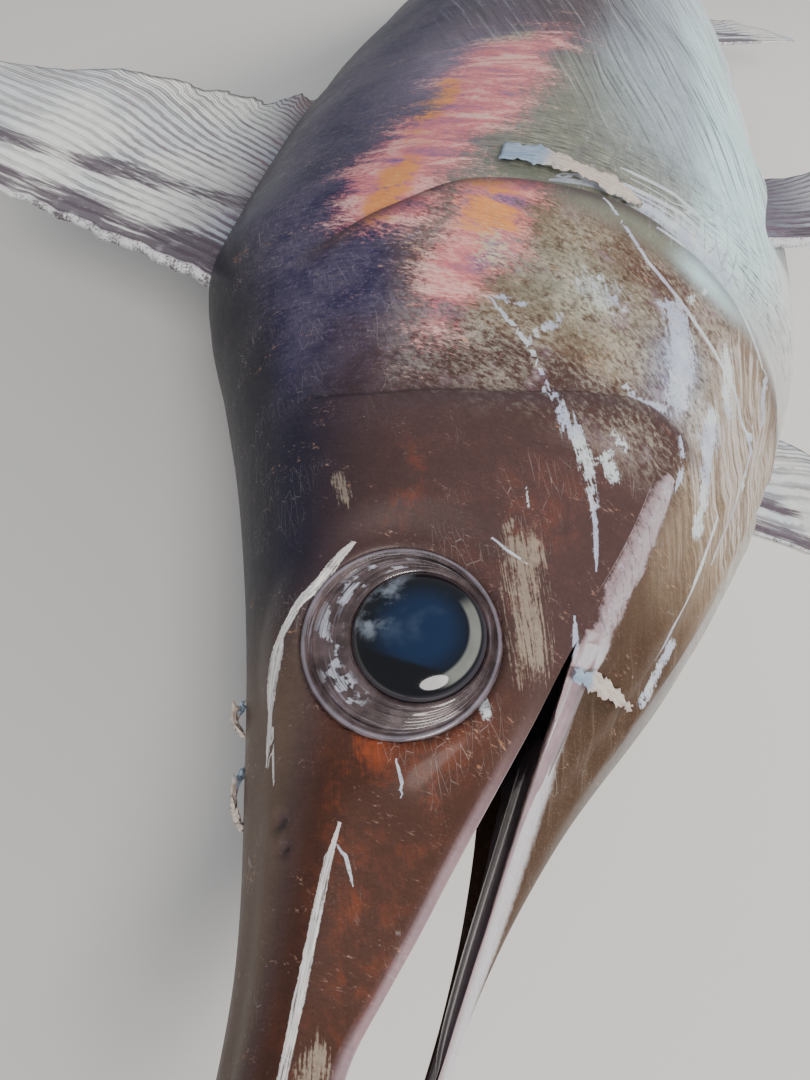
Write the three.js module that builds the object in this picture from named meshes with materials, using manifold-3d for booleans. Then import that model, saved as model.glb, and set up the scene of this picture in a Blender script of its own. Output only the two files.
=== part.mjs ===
// A swordfish at life size, lying on its right side as it would rest on a flat floor.
// Lengths are in millimetres and angles in degrees.
// X runs from the back to the belly, Y from the bill to the tail, and Z up to the fish's left side.
// While the fish is built, Y is 0 at the tip of the lower jaw and Z is 0 at the floor.
// The last lines move the origin to the middle of the bottom of the whole fish.

import * as THREE from 'three';
import { mergeVertices } from 'three/addons/utils/BufferGeometryUtils.js';
import Module from 'manifold-3d';

const wasm = await Module();
wasm.setup();

// Places along the fish
const BILL_TIP = -812;
const BILL_END = -60;
const JAW_TIP = 0;
const JAW_END = 262;
const HEAD_END = 388;
const TRUNK_FRONT_END = 700;
const TRUNK_MIDDLE_END = 1060;
const TRUNK_REAR_END = 1420;
const BODY_END = 1850;
const TAIL_FORK = 1925;
const TAIL_TIP = 2095;

// Gaps, floor and mesh fineness
const GAP = 0.3;
const FLOOR = 0;
const RING_SIDES = 32;
const JAW_SIDES = 12;
const EYE_SIDES = 24;
const EYE_RINGS = 6;
const FIN_EDGE = 1.6;

// Mouth: the blunt tip of the lower jaw, the trough between its lips, and the tongue in it
const JAW_TIP_LENGTH = 26;
const JAW_TIP_LEAD = 2;
const TROUGH_DEPTH = 0.4;
const TONGUE_CLEARANCE = 1;
const TONGUE_TIP = 52;
const TONGUE_END = 205;
const TONGUE_FLATNESS = 0.3;

// Eye: a flat ring of clear skin at the head's surface, a dome on it and a deep ball behind it
const EYE_CENTRE = new THREE.Vector3(-30, 196, 228);
const EYE_FACING = new THREE.Vector3(-0.24, -0.3, 0.92).normalize();
const EYE_RADIUS = 43;
const EYE_DEPTH = 50;
const DOME_RADIUS = 28;
const DOME_FOOT = 2.5;
const DOME_HEIGHT = 12;
const SOCKET_HEIGHT = 30;
const MID_PLANE = 159;

// Gill cover: a bony plate that stands proud of the trunk at its rear edge
const COVER_TOP_ANGLE = 30;
const COVER_BOTTOM_ANGLE = 160;
const COVER_ROWS = 12;
const COVER_THICKNESS = 9;
const COVER_PROUD = 4;
const COVER_CUT_RISE = 6;

// Keels of the tail stock
const KEEL_START = 1600;
const KEEL_END = 1845;
const KEEL_HEIGHT = 24;
const KEEL_EDGE = 0.5;
const KEEL_ROUNDNESS = 0.8;
const KEEL_DEPTH = 10;
const KEEL_LEAST_ROOT = 4;
const KEEL_MIDDLE = 8.5;
const KEEL_HALF_ROOT = 7;
const KEEL_TAPER = 2;

// Smooth curve through [distance, value] pairs that never overshoots them.
function profile(pairs) {
  const last = pairs.length - 1;
  const slope = (i) => (pairs[i + 1][1] - pairs[i][1]) / (pairs[i + 1][0] - pairs[i][0]);
  const tangents = pairs.map((pair, i) => {
    if (i === 0) return slope(0);
    if (i === last) return slope(last - 1);
    const before = slope(i - 1);
    const after = slope(i);
    return before * after > 0 ? (2 * before * after) / (before + after) : 0;
  });
  return (distance) => {
    const place = THREE.MathUtils.clamp(distance, pairs[0][0], pairs[last][0]);
    let i = 0;
    while (i < last - 1 && place > pairs[i + 1][0]) i += 1;
    const span = pairs[i + 1][0] - pairs[i][0];
    const t = (place - pairs[i][0]) / span;
    const rise = 3 * t ** 2 - 2 * t ** 3;
    const bend = tangents[i] * t * (1 - t) ** 2 - tangents[i + 1] * t ** 2 * (1 - t);
    return pairs[i][1] + (pairs[i + 1][1] - pairs[i][1]) * rise + span * bend;
  };
}

// Outlines of the body against the distance from the lower jaw's tip
const backLine = profile([
  [BILL_TIP, -17], [-800, -20], [-500, -25], [-120, -33], [0, -38], [50, -44], [150, -75],
  [285, -130], [365, -172], [409, -198], [450, -214], [600, -223], [720, -223], [860, -214],
  [1000, -197], [1300, -132], [1600, -56], [1700, -37], [BODY_END, -33],
]);
const bellyLine = profile([
  [JAW_TIP, 36], [50, 43.5], [100, 55.5], [150, 73.5], [285, 136], [365, 164], [450, 186], [520, 195],
  [600, 194], [720, 176], [860, 164], [1150, 144], [1300, 128], [1600, 72], [1700, 56], [BODY_END, 51],
]);
const widestLine = profile([
  [BILL_TIP, -15], [-120, -19], [100, -22], [285, 0], [365, -3], [450, -12], [720, -20], [860, -25],
  [1000, -22], [1300, 0], [1600, 8], [BODY_END, 9],
]);
const halfThickness = profile([
  [BILL_TIP, 3], [-800, 8], [-700, 15], [-500, 23], [-120, 34], [50, 41], [100, 50], [285, 100],
  [450, 142], [600, 154], [720, 150], [860, 143], [1000, 131], [1300, 93], [1600, 46], [1700, 35],
  [BODY_END, 18],
]);
const middleHeight = profile([
  [BILL_TIP, 150], [JAW_TIP, MID_PLANE], [285, MID_PLANE], [450, 155], [720, 147], [860, 139],
  [1000, 129], [1300, 98], [1600, 64], [1700, 58], [BODY_END, 48],
]);

// Fullness of the section: 2 is an ellipse, less is keeled and more is boxy
const backFullness = profile([[0, 2.1], [188, 2.4], [365, 2.1], [520, 1.7], [720, 1.65], [1300, 2]]);
const bellyFullness = profile([[0, 2], [188, 1.8], [365, 1.8], [520, 2]]);

// Underside of the bill and upper jaw, and the edge of the lower lip
const palateLine = profile([
  [BILL_TIP, -13], [-800, -10], [-120, -6], [44, 0], [95, 13], [153, 29], [216, 46], [236, 80],
  [JAW_END, bellyLine(JAW_END)],
]);
const palateFullness = profile([[-120, 2], [44, 2.6], [110, 3.4], [216, 3.4], [JAW_END, 1.8]]);
const headUnderside = (y) => (y < JAW_END ? palateLine(y) : bellyLine(y));
const lowerLip = profile([
  [JAW_TIP, 31], [40, 36.5], [80, 41.5], [120, 45], [160, 47], [216, 53], [JAW_END, 66],
]);
// How much narrower than the head the lower jaw is
const jawNarrowing = profile([[JAW_TIP, 0.55], [60, 0.52], [120, 0.66], [180, 0.8], [226, 1]]);
const mouthFloor = (y) => lowerLip(y) + TROUGH_DEPTH * (bellyLine(y) - lowerLip(y));

// Front and rear edges of the gill cover against the angle round the body from the back
const coverFront = profile([[COVER_TOP_ANGLE, 300], [60, 306], [90, 326], [112, 350], [COVER_BOTTOM_ANGLE, 300]]);
const coverRear = profile([
  [COVER_TOP_ANGLE, 372], [67, 434], [85, 455], [105, 464], [142, 448], [COVER_BOTTOM_ANGLE, 405],
]);

// Evenly spaced values from start to end, both included.
function steps(start, end, count) {
  return Array.from({ length: count + 1 }, (unused, i) => start + ((end - start) * i) / count);
}

// Point of the body's skin at one angle, pushed out by grow, with the underside of belly and fullness.
function skinPoint(y, degrees, grow = 0, belly = bellyLine, fullness = bellyFullness) {
  const angle = THREE.MathUtils.degToRad(degrees);
  const up = Math.cos(angle);
  const out = Math.sin(angle);
  const towardBack = up > 0;
  const wide = widestLine(y);
  const reach = (towardBack ? wide - backLine(y) : belly(y) - wide) + grow;
  const power = 2 / (towardBack ? backFullness(y) : fullness(y));
  const x = wide - reach * Math.sign(up) * Math.abs(up) ** power;
  const z = middleHeight(y) + (halfThickness(y) + grow) * Math.sign(out) * Math.abs(out) ** power;
  return new THREE.Vector3(x, y, Math.max(z, FLOOR));
}

function skinRing(y, grow, belly, fullness) {
  return steps(0, 360, RING_SIDES).slice(0, -1).map((degrees) => skinPoint(y, degrees, grow, belly, fullness));
}

// Closed geometry from points and triangles, with the faces turned outward.
function solid(points, triangles) {
  let volume = 0;
  for (const [a, b, c] of triangles) {
    volume += points[a].dot(new THREE.Vector3().crossVectors(points[b], points[c]));
  }
  const turned = volume < 0 ? triangles.map(([a, b, c]) => [a, c, b]) : triangles;
  const geometry = new THREE.BufferGeometry();
  geometry.setAttribute('position', new THREE.Float32BufferAttribute(points.flatMap((p) => p.toArray()), 3));
  geometry.setIndex(turned.flat());
  return geometry;
}

// Solid through closed rings of equal count, closed at both ends by fans.
function loft(rings) {
  const sides = rings[0].length;
  const points = rings.flat();
  const triangles = [];
  for (let r = 0; r < rings.length - 1; r += 1) {
    for (let s = 0; s < sides; s += 1) {
      const a = r * sides + s;
      const b = r * sides + ((s + 1) % sides);
      triangles.push([a, b, b + sides], [a, b + sides, a + sides]);
    }
  }
  for (const r of [0, rings.length - 1]) {
    const middle = points.length;
    points.push(rings[r].reduce((sum, p) => sum.add(p), new THREE.Vector3()).divideScalar(sides));
    for (let s = 0; s < sides; s += 1) {
      const a = r * sides + s;
      const b = r * sides + ((s + 1) % sides);
      triangles.push(r === 0 ? [middle, b, a] : [middle, a, b]);
    }
  }
  return solid(points, triangles);
}

// Solid between two sheets of points in rows, joined all round their rim.
function sheetSolid(top, bottom) {
  const rows = top.length;
  const columns = top[0].length;
  const points = [...top.flat(), ...bottom.flat()];
  const below = rows * columns;
  const triangles = [];
  for (let r = 0; r < rows - 1; r += 1) {
    for (let c = 0; c < columns - 1; c += 1) {
      const a = r * columns + c;
      const b = a + 1;
      const d = a + columns;
      triangles.push([a, b, d + 1], [a, d + 1, d]);
      triangles.push([below + a, below + d + 1, below + b], [below + a, below + d, below + d + 1]);
    }
  }
  const rim = [
    ...steps(0, columns - 2, columns - 2),
    ...steps(0, rows - 2, rows - 2).map((r) => r * columns + columns - 1),
    ...steps(columns - 1, 1, columns - 2).map((c) => (rows - 1) * columns + c),
    ...steps(rows - 1, 1, rows - 2).map((r) => r * columns),
  ];
  rim.forEach((a, i) => {
    const b = rim[(i + 1) % rim.length];
    triangles.push([a, below + b, b], [a, below + a, below + b]);
  });
  return solid(points, triangles);
}

function toManifold(geometry) {
  const bare = geometry.clone();
  bare.deleteAttribute('normal');
  bare.deleteAttribute('uv');
  const merged = mergeVertices(bare, 1e-4);
  return new wasm.Manifold(new wasm.Mesh({
    numProp: 3,
    vertProperties: new Float32Array(merged.attributes.position.array),
    triVerts: new Uint32Array(merged.index.array),
  }));
}

function toGeometry(manifold) {
  const mesh = manifold.getMesh();
  const geometry = new THREE.BufferGeometry();
  geometry.setAttribute('position', new THREE.Float32BufferAttribute(mesh.vertProperties, 3));
  geometry.setIndex([...mesh.triVerts]);
  return geometry;
}

// What is left of a geometry after the cutters are taken out, keeping only its largest body.
function cut(geometry, ...cutters) {
  let shape = toManifold(geometry);
  for (const cutter of cutters) shape = shape.subtract(toManifold(cutter));
  const bodies = shape.decompose().sort((a, b) => b.volume() - a.volume());
  return toGeometry(bodies[0]);
}

// Places of the rings from start to end, with one more beyond each end of a grown cutter.
function ringPlaces(start, end, count, grow) {
  const places = steps(start, end, count);
  return grow > 0 ? [start - grow, ...places, end + grow] : places;
}

// A length of the body between two places, as large as the skin or grown for a cutter.
function bodyLength({ start, end, count }, grow = 0) {
  return loft(ringPlaces(start, end, count, grow).map((y) => skinRing(y, grow)));
}

// Bill, upper jaw and braincase, whose underside is the palate as far as the mouth's corner.
function upperHead({ start, end, count }, grow = 0) {
  return loft(ringPlaces(start, end, count, grow).map((y) => skinRing(y, grow, headUnderside, palateFullness)));
}

// Lower jaw: the skin below the lip, with a shallow trough between the lips.
function lowerJawRing(y) {
  const wide = widestLine(y);
  const lip = lowerLip(y);
  const share = ((lip - wide) / (bellyLine(y) - wide)) ** (bellyFullness(y) / 2);
  const lipAngle = THREE.MathUtils.radToDeg(Math.acos(-share));
  const roundedTip = Math.sqrt(1 - Math.max(0, 1 - (y + JAW_TIP_LEAD) / JAW_TIP_LENGTH) ** 2);
  const width = roundedTip * jawNarrowing(y);
  const outside = steps(lipAngle, 360 - lipAngle, JAW_SIDES).map((degrees) => skinPoint(y, degrees));
  const lipHalf = outside[0].z - MID_PLANE;
  const depth = mouthFloor(y) - lip;
  const inside = steps(-1, 1, JAW_SIDES / 2).slice(1, -1).map((across) => (
    new THREE.Vector3(lip + depth * (1 - across ** 2), y, MID_PLANE + across * lipHalf)
  ));
  return [...outside, ...inside].map((p) => (
    new THREE.Vector3(p.x, y, MID_PLANE + (p.z - MID_PLANE) * width)
  ));
}

// Tongue, a low tapering ridge that lies in the lower jaw's trough.
function tongue() {
  const halfWidth = profile([[TONGUE_TIP, 3], [80, 8], [150, 16], [TONGUE_END, 24]]);
  return loft(steps(TONGUE_TIP, TONGUE_END, 5).map((y) => {
    const half = halfWidth(y);
    const middle = mouthFloor(y) - TONGUE_FLATNESS * half - TONGUE_CLEARANCE;
    return steps(0, 360, 10).slice(0, -1).map((degrees) => {
      const angle = THREE.MathUtils.degToRad(degrees);
      const x = middle - TONGUE_FLATNESS * half * Math.cos(angle);
      return new THREE.Vector3(x, y, MID_PLANE + half * Math.sin(angle));
    });
  }));
}

// Plate of one gill cover; grow makes the cutter that leaves a gap round it.
function gillCover(side, grow = 0) {
  const angles = steps(COVER_TOP_ANGLE, COVER_BOTTOM_ANGLE, COVER_ROWS);
  if (grow > 0) {
    angles.unshift(COVER_TOP_ANGLE - grow);
    angles.push(COVER_BOTTOM_ANGLE + grow);
  }
  const shares = steps(0, 1, 4);
  const sheet = (offset) => angles.map((degrees) => shares.map((share) => {
    const front = coverFront(degrees) - grow;
    const rear = coverRear(degrees) + grow;
    return skinPoint(THREE.MathUtils.lerp(front, rear, share), side * degrees, offset(share));
  }));
  const outside = sheet((share) => (COVER_PROUD + (grow > 0 ? COVER_CUT_RISE : 0)) * share ** 2 + grow);
  const inside = sheet(() => -COVER_THICKNESS - grow);
  return sheetSolid(outside, inside);
}

// Eye in the head: ball, ring and dome turned round the line it looks along.
function eye(side, grow = 0) {
  const radius = EYE_RADIUS + grow;
  const ball = steps(-90, 0, EYE_RINGS).map((degrees) => {
    const angle = THREE.MathUtils.degToRad(degrees);
    const across = degrees === -90 ? 0 : radius * Math.cos(angle);
    return new THREE.Vector2(across, (EYE_DEPTH + grow) * Math.sin(angle));
  });
  const dome = steps(0, 90, EYE_RINGS / 2).map((degrees) => {
    const angle = THREE.MathUtils.degToRad(degrees);
    const across = degrees === 90 ? 0 : DOME_RADIUS * Math.cos(angle);
    return new THREE.Vector2(across, DOME_FOOT + (DOME_HEIGHT - DOME_FOOT) * Math.sin(angle) + grow);
  });
  const socket = [new THREE.Vector2(radius, SOCKET_HEIGHT), new THREE.Vector2(0, SOCKET_HEIGHT)];
  const turned = new THREE.LatheGeometry([...ball, ...(grow > 0 ? socket : dome)], EYE_SIDES);
  const facing = EYE_FACING.clone();
  const centre = EYE_CENTRE.clone();
  facing.z *= side;
  centre.z = MID_PLANE + side * (EYE_CENTRE.z - MID_PLANE);
  turned.applyQuaternion(new THREE.Quaternion().setFromUnitVectors(new THREE.Vector3(0, 1, 0), facing));
  turned.translate(centre.x, centre.y, centre.z);
  return turned;
}

// A fin between a leading and a trailing edge, each a smooth curve of a few [x, y, z] points.
// It is thickest near the root and the leading edge and never dips below the floor.
function fin({ lead, trail, root, chords = 6, spans = 8, wave = () => 0 }) {
  const leadCurve = new THREE.CatmullRomCurve3(lead.map((p) => new THREE.Vector3(...p)), false, 'centripetal');
  const trailCurve = new THREE.CatmullRomCurve3(trail.map((p) => new THREE.Vector3(...p)), false, 'centripetal');
  const middle = steps(0, 1, spans).map((span) => {
    const from = leadCurve.getPoint(span);
    const to = trailCurve.getPoint(span);
    return steps(0, 1, chords).map((chord) => {
      const point = from.clone().lerp(to, chord);
      point.z += wave(chord, span);
      return point;
    });
  });
  const half = (chord, span) => (
    0.5 * (FIN_EDGE + (root - FIN_EDGE) * (1 - span) ** 1.5 * Math.sin(Math.PI * Math.sqrt(0.02 + 0.96 * chord)))
  );
  const normalAt = (i, j) => {
    const along = middle[Math.min(i + 1, spans)][j].clone().sub(middle[Math.max(i - 1, 0)][j]);
    const across = middle[i][Math.min(j + 1, chords)].clone().sub(middle[i][Math.max(j - 1, 0)]);
    const normal = along.cross(across).normalize();
    return normal.z < 0 ? normal.negate() : normal;
  };
  const sheet = (sign) => middle.map((row, i) => row.map((point, j) => {
    const offset = half(j / chords, i / spans);
    const lifted = point.clone();
    lifted.z = Math.max(point.z, FLOOR + offset);
    lifted.addScaledVector(normalAt(i, j), sign * offset);
    lifted.z = Math.max(lifted.z, sign > 0 ? FLOOR + FIN_EDGE : FLOOR);
    return lifted;
  }));
  return sheetSolid(sheet(1), sheet(-1));
}

// First dorsal fin: tall, stiff and swept back, with a ragged rear edge that curls up
const firstDorsal = {
  lead: [[-185, 438, 153], [-217, 447, 153], [-296, 455, 153], [-369, 464, 150], [-500, 505, 142], [-604, 590, 132]],
  trail: [[-190, 752, 146], [-235, 728, 148], [-267, 690, 150], [-328, 662, 152], [-448, 602, 150], [-602, 604, 133]],
  root: 22,
  chords: 8,
  spans: 10,
  wave: (chord, span) => 5 * Math.sin(9 * span + 2) * chord ** 2 * span,
};
const secondDorsal = {
  lead: [[-30, 1662, 60], [-62, 1686, 60], [-92, 1718, 58]],
  trail: [[-28, 1722, 57], [-52, 1734, 57], [-88, 1748, 56]],
  root: 8,
  chords: 3,
  spans: 4,
};
const firstAnal = {
  lead: [[108, 1290, 98], [160, 1345, 95], [236, 1440, 88], [320, 1560, 74]],
  trail: [[80, 1470, 80], [136, 1462, 82], [200, 1500, 82], [312, 1578, 73]],
  root: 14,
};
const secondAnal = {
  lead: [[44, 1650, 60], [82, 1674, 60], [114, 1708, 58]],
  trail: [[40, 1712, 57], [70, 1724, 57], [110, 1740, 56]],
  root: 8,
  chords: 3,
  spans: 4,
};
// Left pectoral fin: held out from the belly and swept back
const leftPectoral = {
  lead: [[104, 546, 258], [160, 566, 272], [262, 640, 290], [338, 750, 304], [372, 868, 310]],
  trail: [[96, 640, 248], [142, 648, 266], [196, 706, 278], [268, 792, 294], [358, 880, 309]],
  root: 16,
};
// Right pectoral fin: pressed flat on the floor, pointing out from under the belly
const rightPectoral = {
  lead: [[112, 544, 44], [170, 552, 20], [240, 562, 3], [350, 566, 1], [440, 596, 1], [512, 672, 1]],
  trail: [[110, 640, 40], [160, 662, 18], [220, 690, 3], [320, 706, 1], [410, 690, 1], [508, 688, 1]],
  root: 16,
};
// Lobes of the tail fin: stiff and crescent shaped, bending down to the floor at their tips
const upperLobe = {
  lead: [[8.8, 1800, 50], [-34, 1815, 49], [-130, 1865, 38], [-280, 1965, 12], [-396, TAIL_TIP - 8, 0]],
  trail: [[8.8, TAIL_FORK, 42], [-50, 1928, 40], [-150, 1958, 28], [-280, 2030, 8], [-390, TAIL_TIP, 0]],
  root: 18,
};
const lowerLobe = {
  lead: [[9.2, 1800, 50], [52, 1815, 49], [148, 1865, 38], [298, 1965, 12], [414, TAIL_TIP - 8, 0]],
  trail: [[9.2, TAIL_FORK, 42], [68, 1928, 40], [168, 1958, 28], [298, 2030, 8], [408, TAIL_TIP, 0]],
  root: 18,
};

// Side keel of the tail stock: a low flat ridge that the tail rests on.
function keel(side) {
  const rows = steps(0, 1, 7).map((share) => {
    const y = THREE.MathUtils.lerp(KEEL_START, KEEL_END, share);
    const height = KEEL_HEIGHT * Math.sin(Math.PI * share) ** KEEL_ROUNDNESS + KEEL_EDGE;
    const root = Math.max(halfThickness(y) - KEEL_DEPTH, KEEL_LEAST_ROOT);
    return steps(0, 1, 2).map((out) => {
      const z = middleHeight(y) + side * (root + (KEEL_DEPTH + height) * out);
      return new THREE.Vector3(KEEL_MIDDLE, y, Math.max(z, FLOOR));
    });
  });
  const shifted = (sign) => rows.map((row) => row.map((p, j) => {
    const moved = p.clone();
    moved.x += sign * (KEEL_HALF_ROOT - KEEL_TAPER * j);
    return moved;
  }));
  return sheetSolid(shifted(1), shifted(-1));
}

// Colours and finishes of the wet skin
function skinMaterial(color, roughness = 0.35) {
  return new THREE.MeshStandardMaterial({ color, roughness, metalness: 0 });
}

const fish = new THREE.Group();

function add(name, geometry, color, roughness) {
  const mesh = new THREE.Mesh(geometry, skinMaterial(color, roughness));
  mesh.name = name;
  fish.add(mesh);
}

const bill = { start: BILL_TIP, end: BILL_END - GAP, count: 7 };
const head = { start: BILL_END, end: HEAD_END, count: 18 };
const lengths = {
  trunk_front: { start: HEAD_END + GAP, end: TRUNK_FRONT_END, count: 6 },
  trunk_middle: { start: TRUNK_FRONT_END + GAP, end: TRUNK_MIDDLE_END, count: 5 },
  trunk_rear: { start: TRUNK_MIDDLE_END + GAP, end: TRUNK_REAR_END, count: 5 },
  tail_stock: { start: TRUNK_REAR_END + GAP, end: BODY_END, count: 7 },
};
const coverCutters = [gillCover(1, 3 * GAP), gillCover(-1, 3 * GAP)];
const socketCutters = [eye(1, GAP), eye(-1, GAP)];
const bodyCutters = Object.values(lengths).map((length) => bodyLength(length, GAP));
const jaw = loft(steps(JAW_TIP, JAW_END, 12).map(lowerJawRing));

add('bill', upperHead(bill), 0x2c2220);
add('head', cut(upperHead(head), ...socketCutters, ...coverCutters), 0x4a2f28);
add('lower_jaw', cut(jaw, upperHead(head, GAP)), 0x6b5350);
add('tongue', tongue(), 0x584a50);
for (const [name, side] of [['left', 1], ['right', -1]]) {
  add(`gill_cover_${name}`, gillCover(side), 0x5a4636);
  add(`eye_${name}`, eye(side), 0x0b1018, 0.05);
}
for (const [name, length] of Object.entries(lengths)) {
  add(name, cut(bodyLength(length), ...coverCutters), 0x74727a);
}

const fins = {
  dorsal_fin_first: firstDorsal,
  dorsal_fin_second: secondDorsal,
  anal_fin_first: firstAnal,
  anal_fin_second: secondAnal,
  pectoral_fin_left: leftPectoral,
  pectoral_fin_right: rightPectoral,
  caudal_fin_upper: upperLobe,
  caudal_fin_lower: lowerLobe,
};
for (const [name, shape] of Object.entries(fins)) {
  add(name, cut(fin(shape), ...bodyCutters), 0x8d8790, 0.4);
}
for (const [name, side] of [['left', 1], ['right', -1]]) {
  add(`keel_${name}`, cut(keel(side), ...bodyCutters, fin(upperLobe), fin(lowerLobe)), 0x55565e);
}

// Origin at the middle of the bottom of the whole fish
const box = new THREE.Box3().setFromObject(fish);
const centre = box.getCenter(new THREE.Vector3());
fish.position.set(-centre.x, -centre.y, -box.min.z);

export default fish;
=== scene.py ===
import math

import bmesh
import bpy
import numpy as np
from mathutils import Matrix, Vector


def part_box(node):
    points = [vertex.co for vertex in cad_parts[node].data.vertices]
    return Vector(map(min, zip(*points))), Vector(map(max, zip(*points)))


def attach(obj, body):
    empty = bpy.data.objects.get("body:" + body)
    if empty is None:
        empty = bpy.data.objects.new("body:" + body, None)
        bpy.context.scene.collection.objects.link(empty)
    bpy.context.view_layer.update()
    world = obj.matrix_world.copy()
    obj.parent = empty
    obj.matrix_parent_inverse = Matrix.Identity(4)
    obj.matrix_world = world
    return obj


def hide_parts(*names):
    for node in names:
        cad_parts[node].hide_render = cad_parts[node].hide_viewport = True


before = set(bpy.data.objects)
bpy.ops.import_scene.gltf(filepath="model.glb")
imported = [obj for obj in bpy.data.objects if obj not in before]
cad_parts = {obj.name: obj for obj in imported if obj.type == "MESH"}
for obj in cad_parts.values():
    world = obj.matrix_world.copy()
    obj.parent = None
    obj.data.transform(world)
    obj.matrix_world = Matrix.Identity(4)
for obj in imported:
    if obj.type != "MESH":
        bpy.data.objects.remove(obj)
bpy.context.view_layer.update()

# Sizes are in millimetres in the fish's own frame: x towards the belly, y towards the tail from the
# tip of the lower jaw, z up through the left side that shows. Angles go round the body in degrees:
# 0 on the back, 90 on the left side, 180 on the belly and -90 on the right side.
MM = 0.001
BILL_TIP = -812
BILL_ROUNDING = 12
JAW_TIP = 0
JAW_ROUNDING = 26
MOUTH_CORNER = 226
POCKET_END = 290
POCKET_DROP = 16
TONGUE_TIP, TONGUE_ROOT = 52, 205
KEEL_START, KEEL_END = 1600, 1845
KEEL_HEIGHT = 24
SKIN_END = 1905
MID_PLANE = 159
BACK_REACH = 223

# Where the upper and the lower sheet of skin meet behind the mouth, in degrees from the back
SEAM_ANGLE = 121

# The fish's frame starts at the tip of the lower jaw, on the floor
ORIGIN = Vector((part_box("trunk_middle")[0].x + BACK_REACH * MM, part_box("bill")[0].y - BILL_TIP * MM, 0))

# Folds of the gill cover: where their straightened lines lie among the rings of skin
PREOPERCLE = 325
OPERCLE = 440
FOLDS_START = 250
FOLDS_END = 620

# Eyes
EYE_SIDES = 96
EYE_CENTRE = np.array((-30.0, 196.0, 228.0))
EYE_FACING = np.array((-0.235, -0.21, 0.949))
DOME_RADIUS = 28.8
DOME_OFFSET = np.array((7.6, 3.6, 0.0))

# The skin's materials, in the order in which its faces count them
SKIN_KIND, LINING_KIND, FIN_KIND = range(3)

# Camera, solved for the photo's 810 x 1080 frame
CAMERA_PLACE = (-62.3, 24.0, 528.9)
CAMERA_RIGHT = (0.93708945, 0.24634061, 0.24734526)
CAMERA_UP = (-0.3445941, 0.76609842, 0.54253858)
CAMERA_BACK = (-0.05584153, -0.5936409, 0.80279026)
CAMERA_LENS = 27.03
CAMERA_SENSOR = 36

# Colours of the wet fish, as linear red, green and blue: nape and trunk
NAPE_BLACK = (0.016, 0.014, 0.023)
NAPE_VIOLET = (0.036, 0.030, 0.078)
NAPE_CLOUD = (0.130, 0.105, 0.150)
NAPE_CRUST = (0.200, 0.150, 0.240)
NAPE_DEEP = (0.030, 0.030, 0.085)
SHOULDER_GREY = (0.110, 0.100, 0.135)
BACK_SLATE = (0.060, 0.056, 0.072)
BACK_LILAC = (0.360, 0.280, 0.380)
GILL_OLIVE = (0.235, 0.245, 0.190)
GILL_GREY = (0.460, 0.440, 0.420)
FLANK_DUSK = (0.130, 0.098, 0.105)
FLANK_PALE = (0.400, 0.480, 0.530)
FLANK_SILVER = (0.580, 0.680, 0.720)
# Pale edge of the belly, brightened as a painted highlight
BELLY_EDGE_AND_HIGHLIGHT = (0.680, 0.930, 0.960)
BELLY_WHITE = (0.720, 0.740, 0.720)
DASH_DARK = (0.065, 0.055, 0.055)
DASH_PALE = (0.520, 0.540, 0.470)
MUSCLE_LINE = (0.085, 0.075, 0.085)
MUSCLE_GLINT = (0.680, 0.740, 0.740)
CRINKLE_DARK = (0.160, 0.130, 0.160)

# Bill, snout, cheek and gill cover
BILL_BROWN = (0.070, 0.048, 0.038)
SNOUT_GREY = (0.125, 0.080, 0.056)
SNOUT_BROWN = (0.068, 0.027, 0.017)
CHEEK_MAROON = (0.082, 0.045, 0.041)
RUST = (0.330, 0.066, 0.020)
COVER_BROWN = (0.150, 0.090, 0.060)
COVER_OLIVE = (0.260, 0.200, 0.130)
COVER_CREAM = (0.560, 0.520, 0.420)
COVER_MOSS = (0.360, 0.400, 0.320)
COVER_RUSSET = (0.100, 0.042, 0.034)
COVER_BAY = (0.115, 0.050, 0.035)
COVER_BLUE = (0.300, 0.380, 0.560)
COVER_DROP = (0.070, 0.032, 0.022)
COVER_CRUMB = (0.100, 0.055, 0.036)
COVER_BLUSH = (0.300, 0.200, 0.260)
# Dark skin of the gill cover's rim, also laid as painted shade under the rim, along the cheek's edge and in
# the nostrils
RIM_DARK = (0.060, 0.038, 0.044)

# Throat
THROAT_BROWN = (0.082, 0.046, 0.028)
THROAT_TAN = (0.360, 0.265, 0.180)
# Pale tissue, brightened as a painted highlight
THROAT_WHITE_AND_HIGHLIGHT = (0.720, 0.720, 0.660)
THROAT_SILVER = (0.520, 0.530, 0.530)
PLEAT_PALE = (0.440, 0.380, 0.310)
PLEAT_DARK = (0.050, 0.026, 0.018)
TISSUE_PALE = (0.660, 0.620, 0.600)
GOLD_FLECK = (0.400, 0.270, 0.120)

# Scratches, scrapes, worn patches and the rainbow sheen
SPECK_TAN = (0.420, 0.340, 0.300)
WORN_TAN = (0.340, 0.275, 0.210)
NICK_TAN = (0.500, 0.450, 0.420)
LILAC_WHITE = (0.480, 0.520, 0.660)
ICE_WHITE = (0.660, 0.720, 0.740)
STRIP_GREY = (0.500, 0.470, 0.470)
STRIP_CREAM = (0.900, 0.860, 0.800)
SHEEN_STOPS = [
    (0.30, (0.26, 0.13, 0.30)),
    (0.40, (0.56, 0.20, 0.28)),
    (0.50, (0.80, 0.22, 0.22)),
    (0.60, (0.95, 0.46, 0.42)),
    (0.72, (0.95, 0.74, 0.66)),
]
SHEEN_ORANGE = (0.880, 0.320, 0.070)
SHEEN_YELLOW = (0.900, 0.620, 0.160)
SHEEN_LIME = (0.620, 0.680, 0.420)
SHEEN_DARK = (0.160, 0.080, 0.130)

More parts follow.
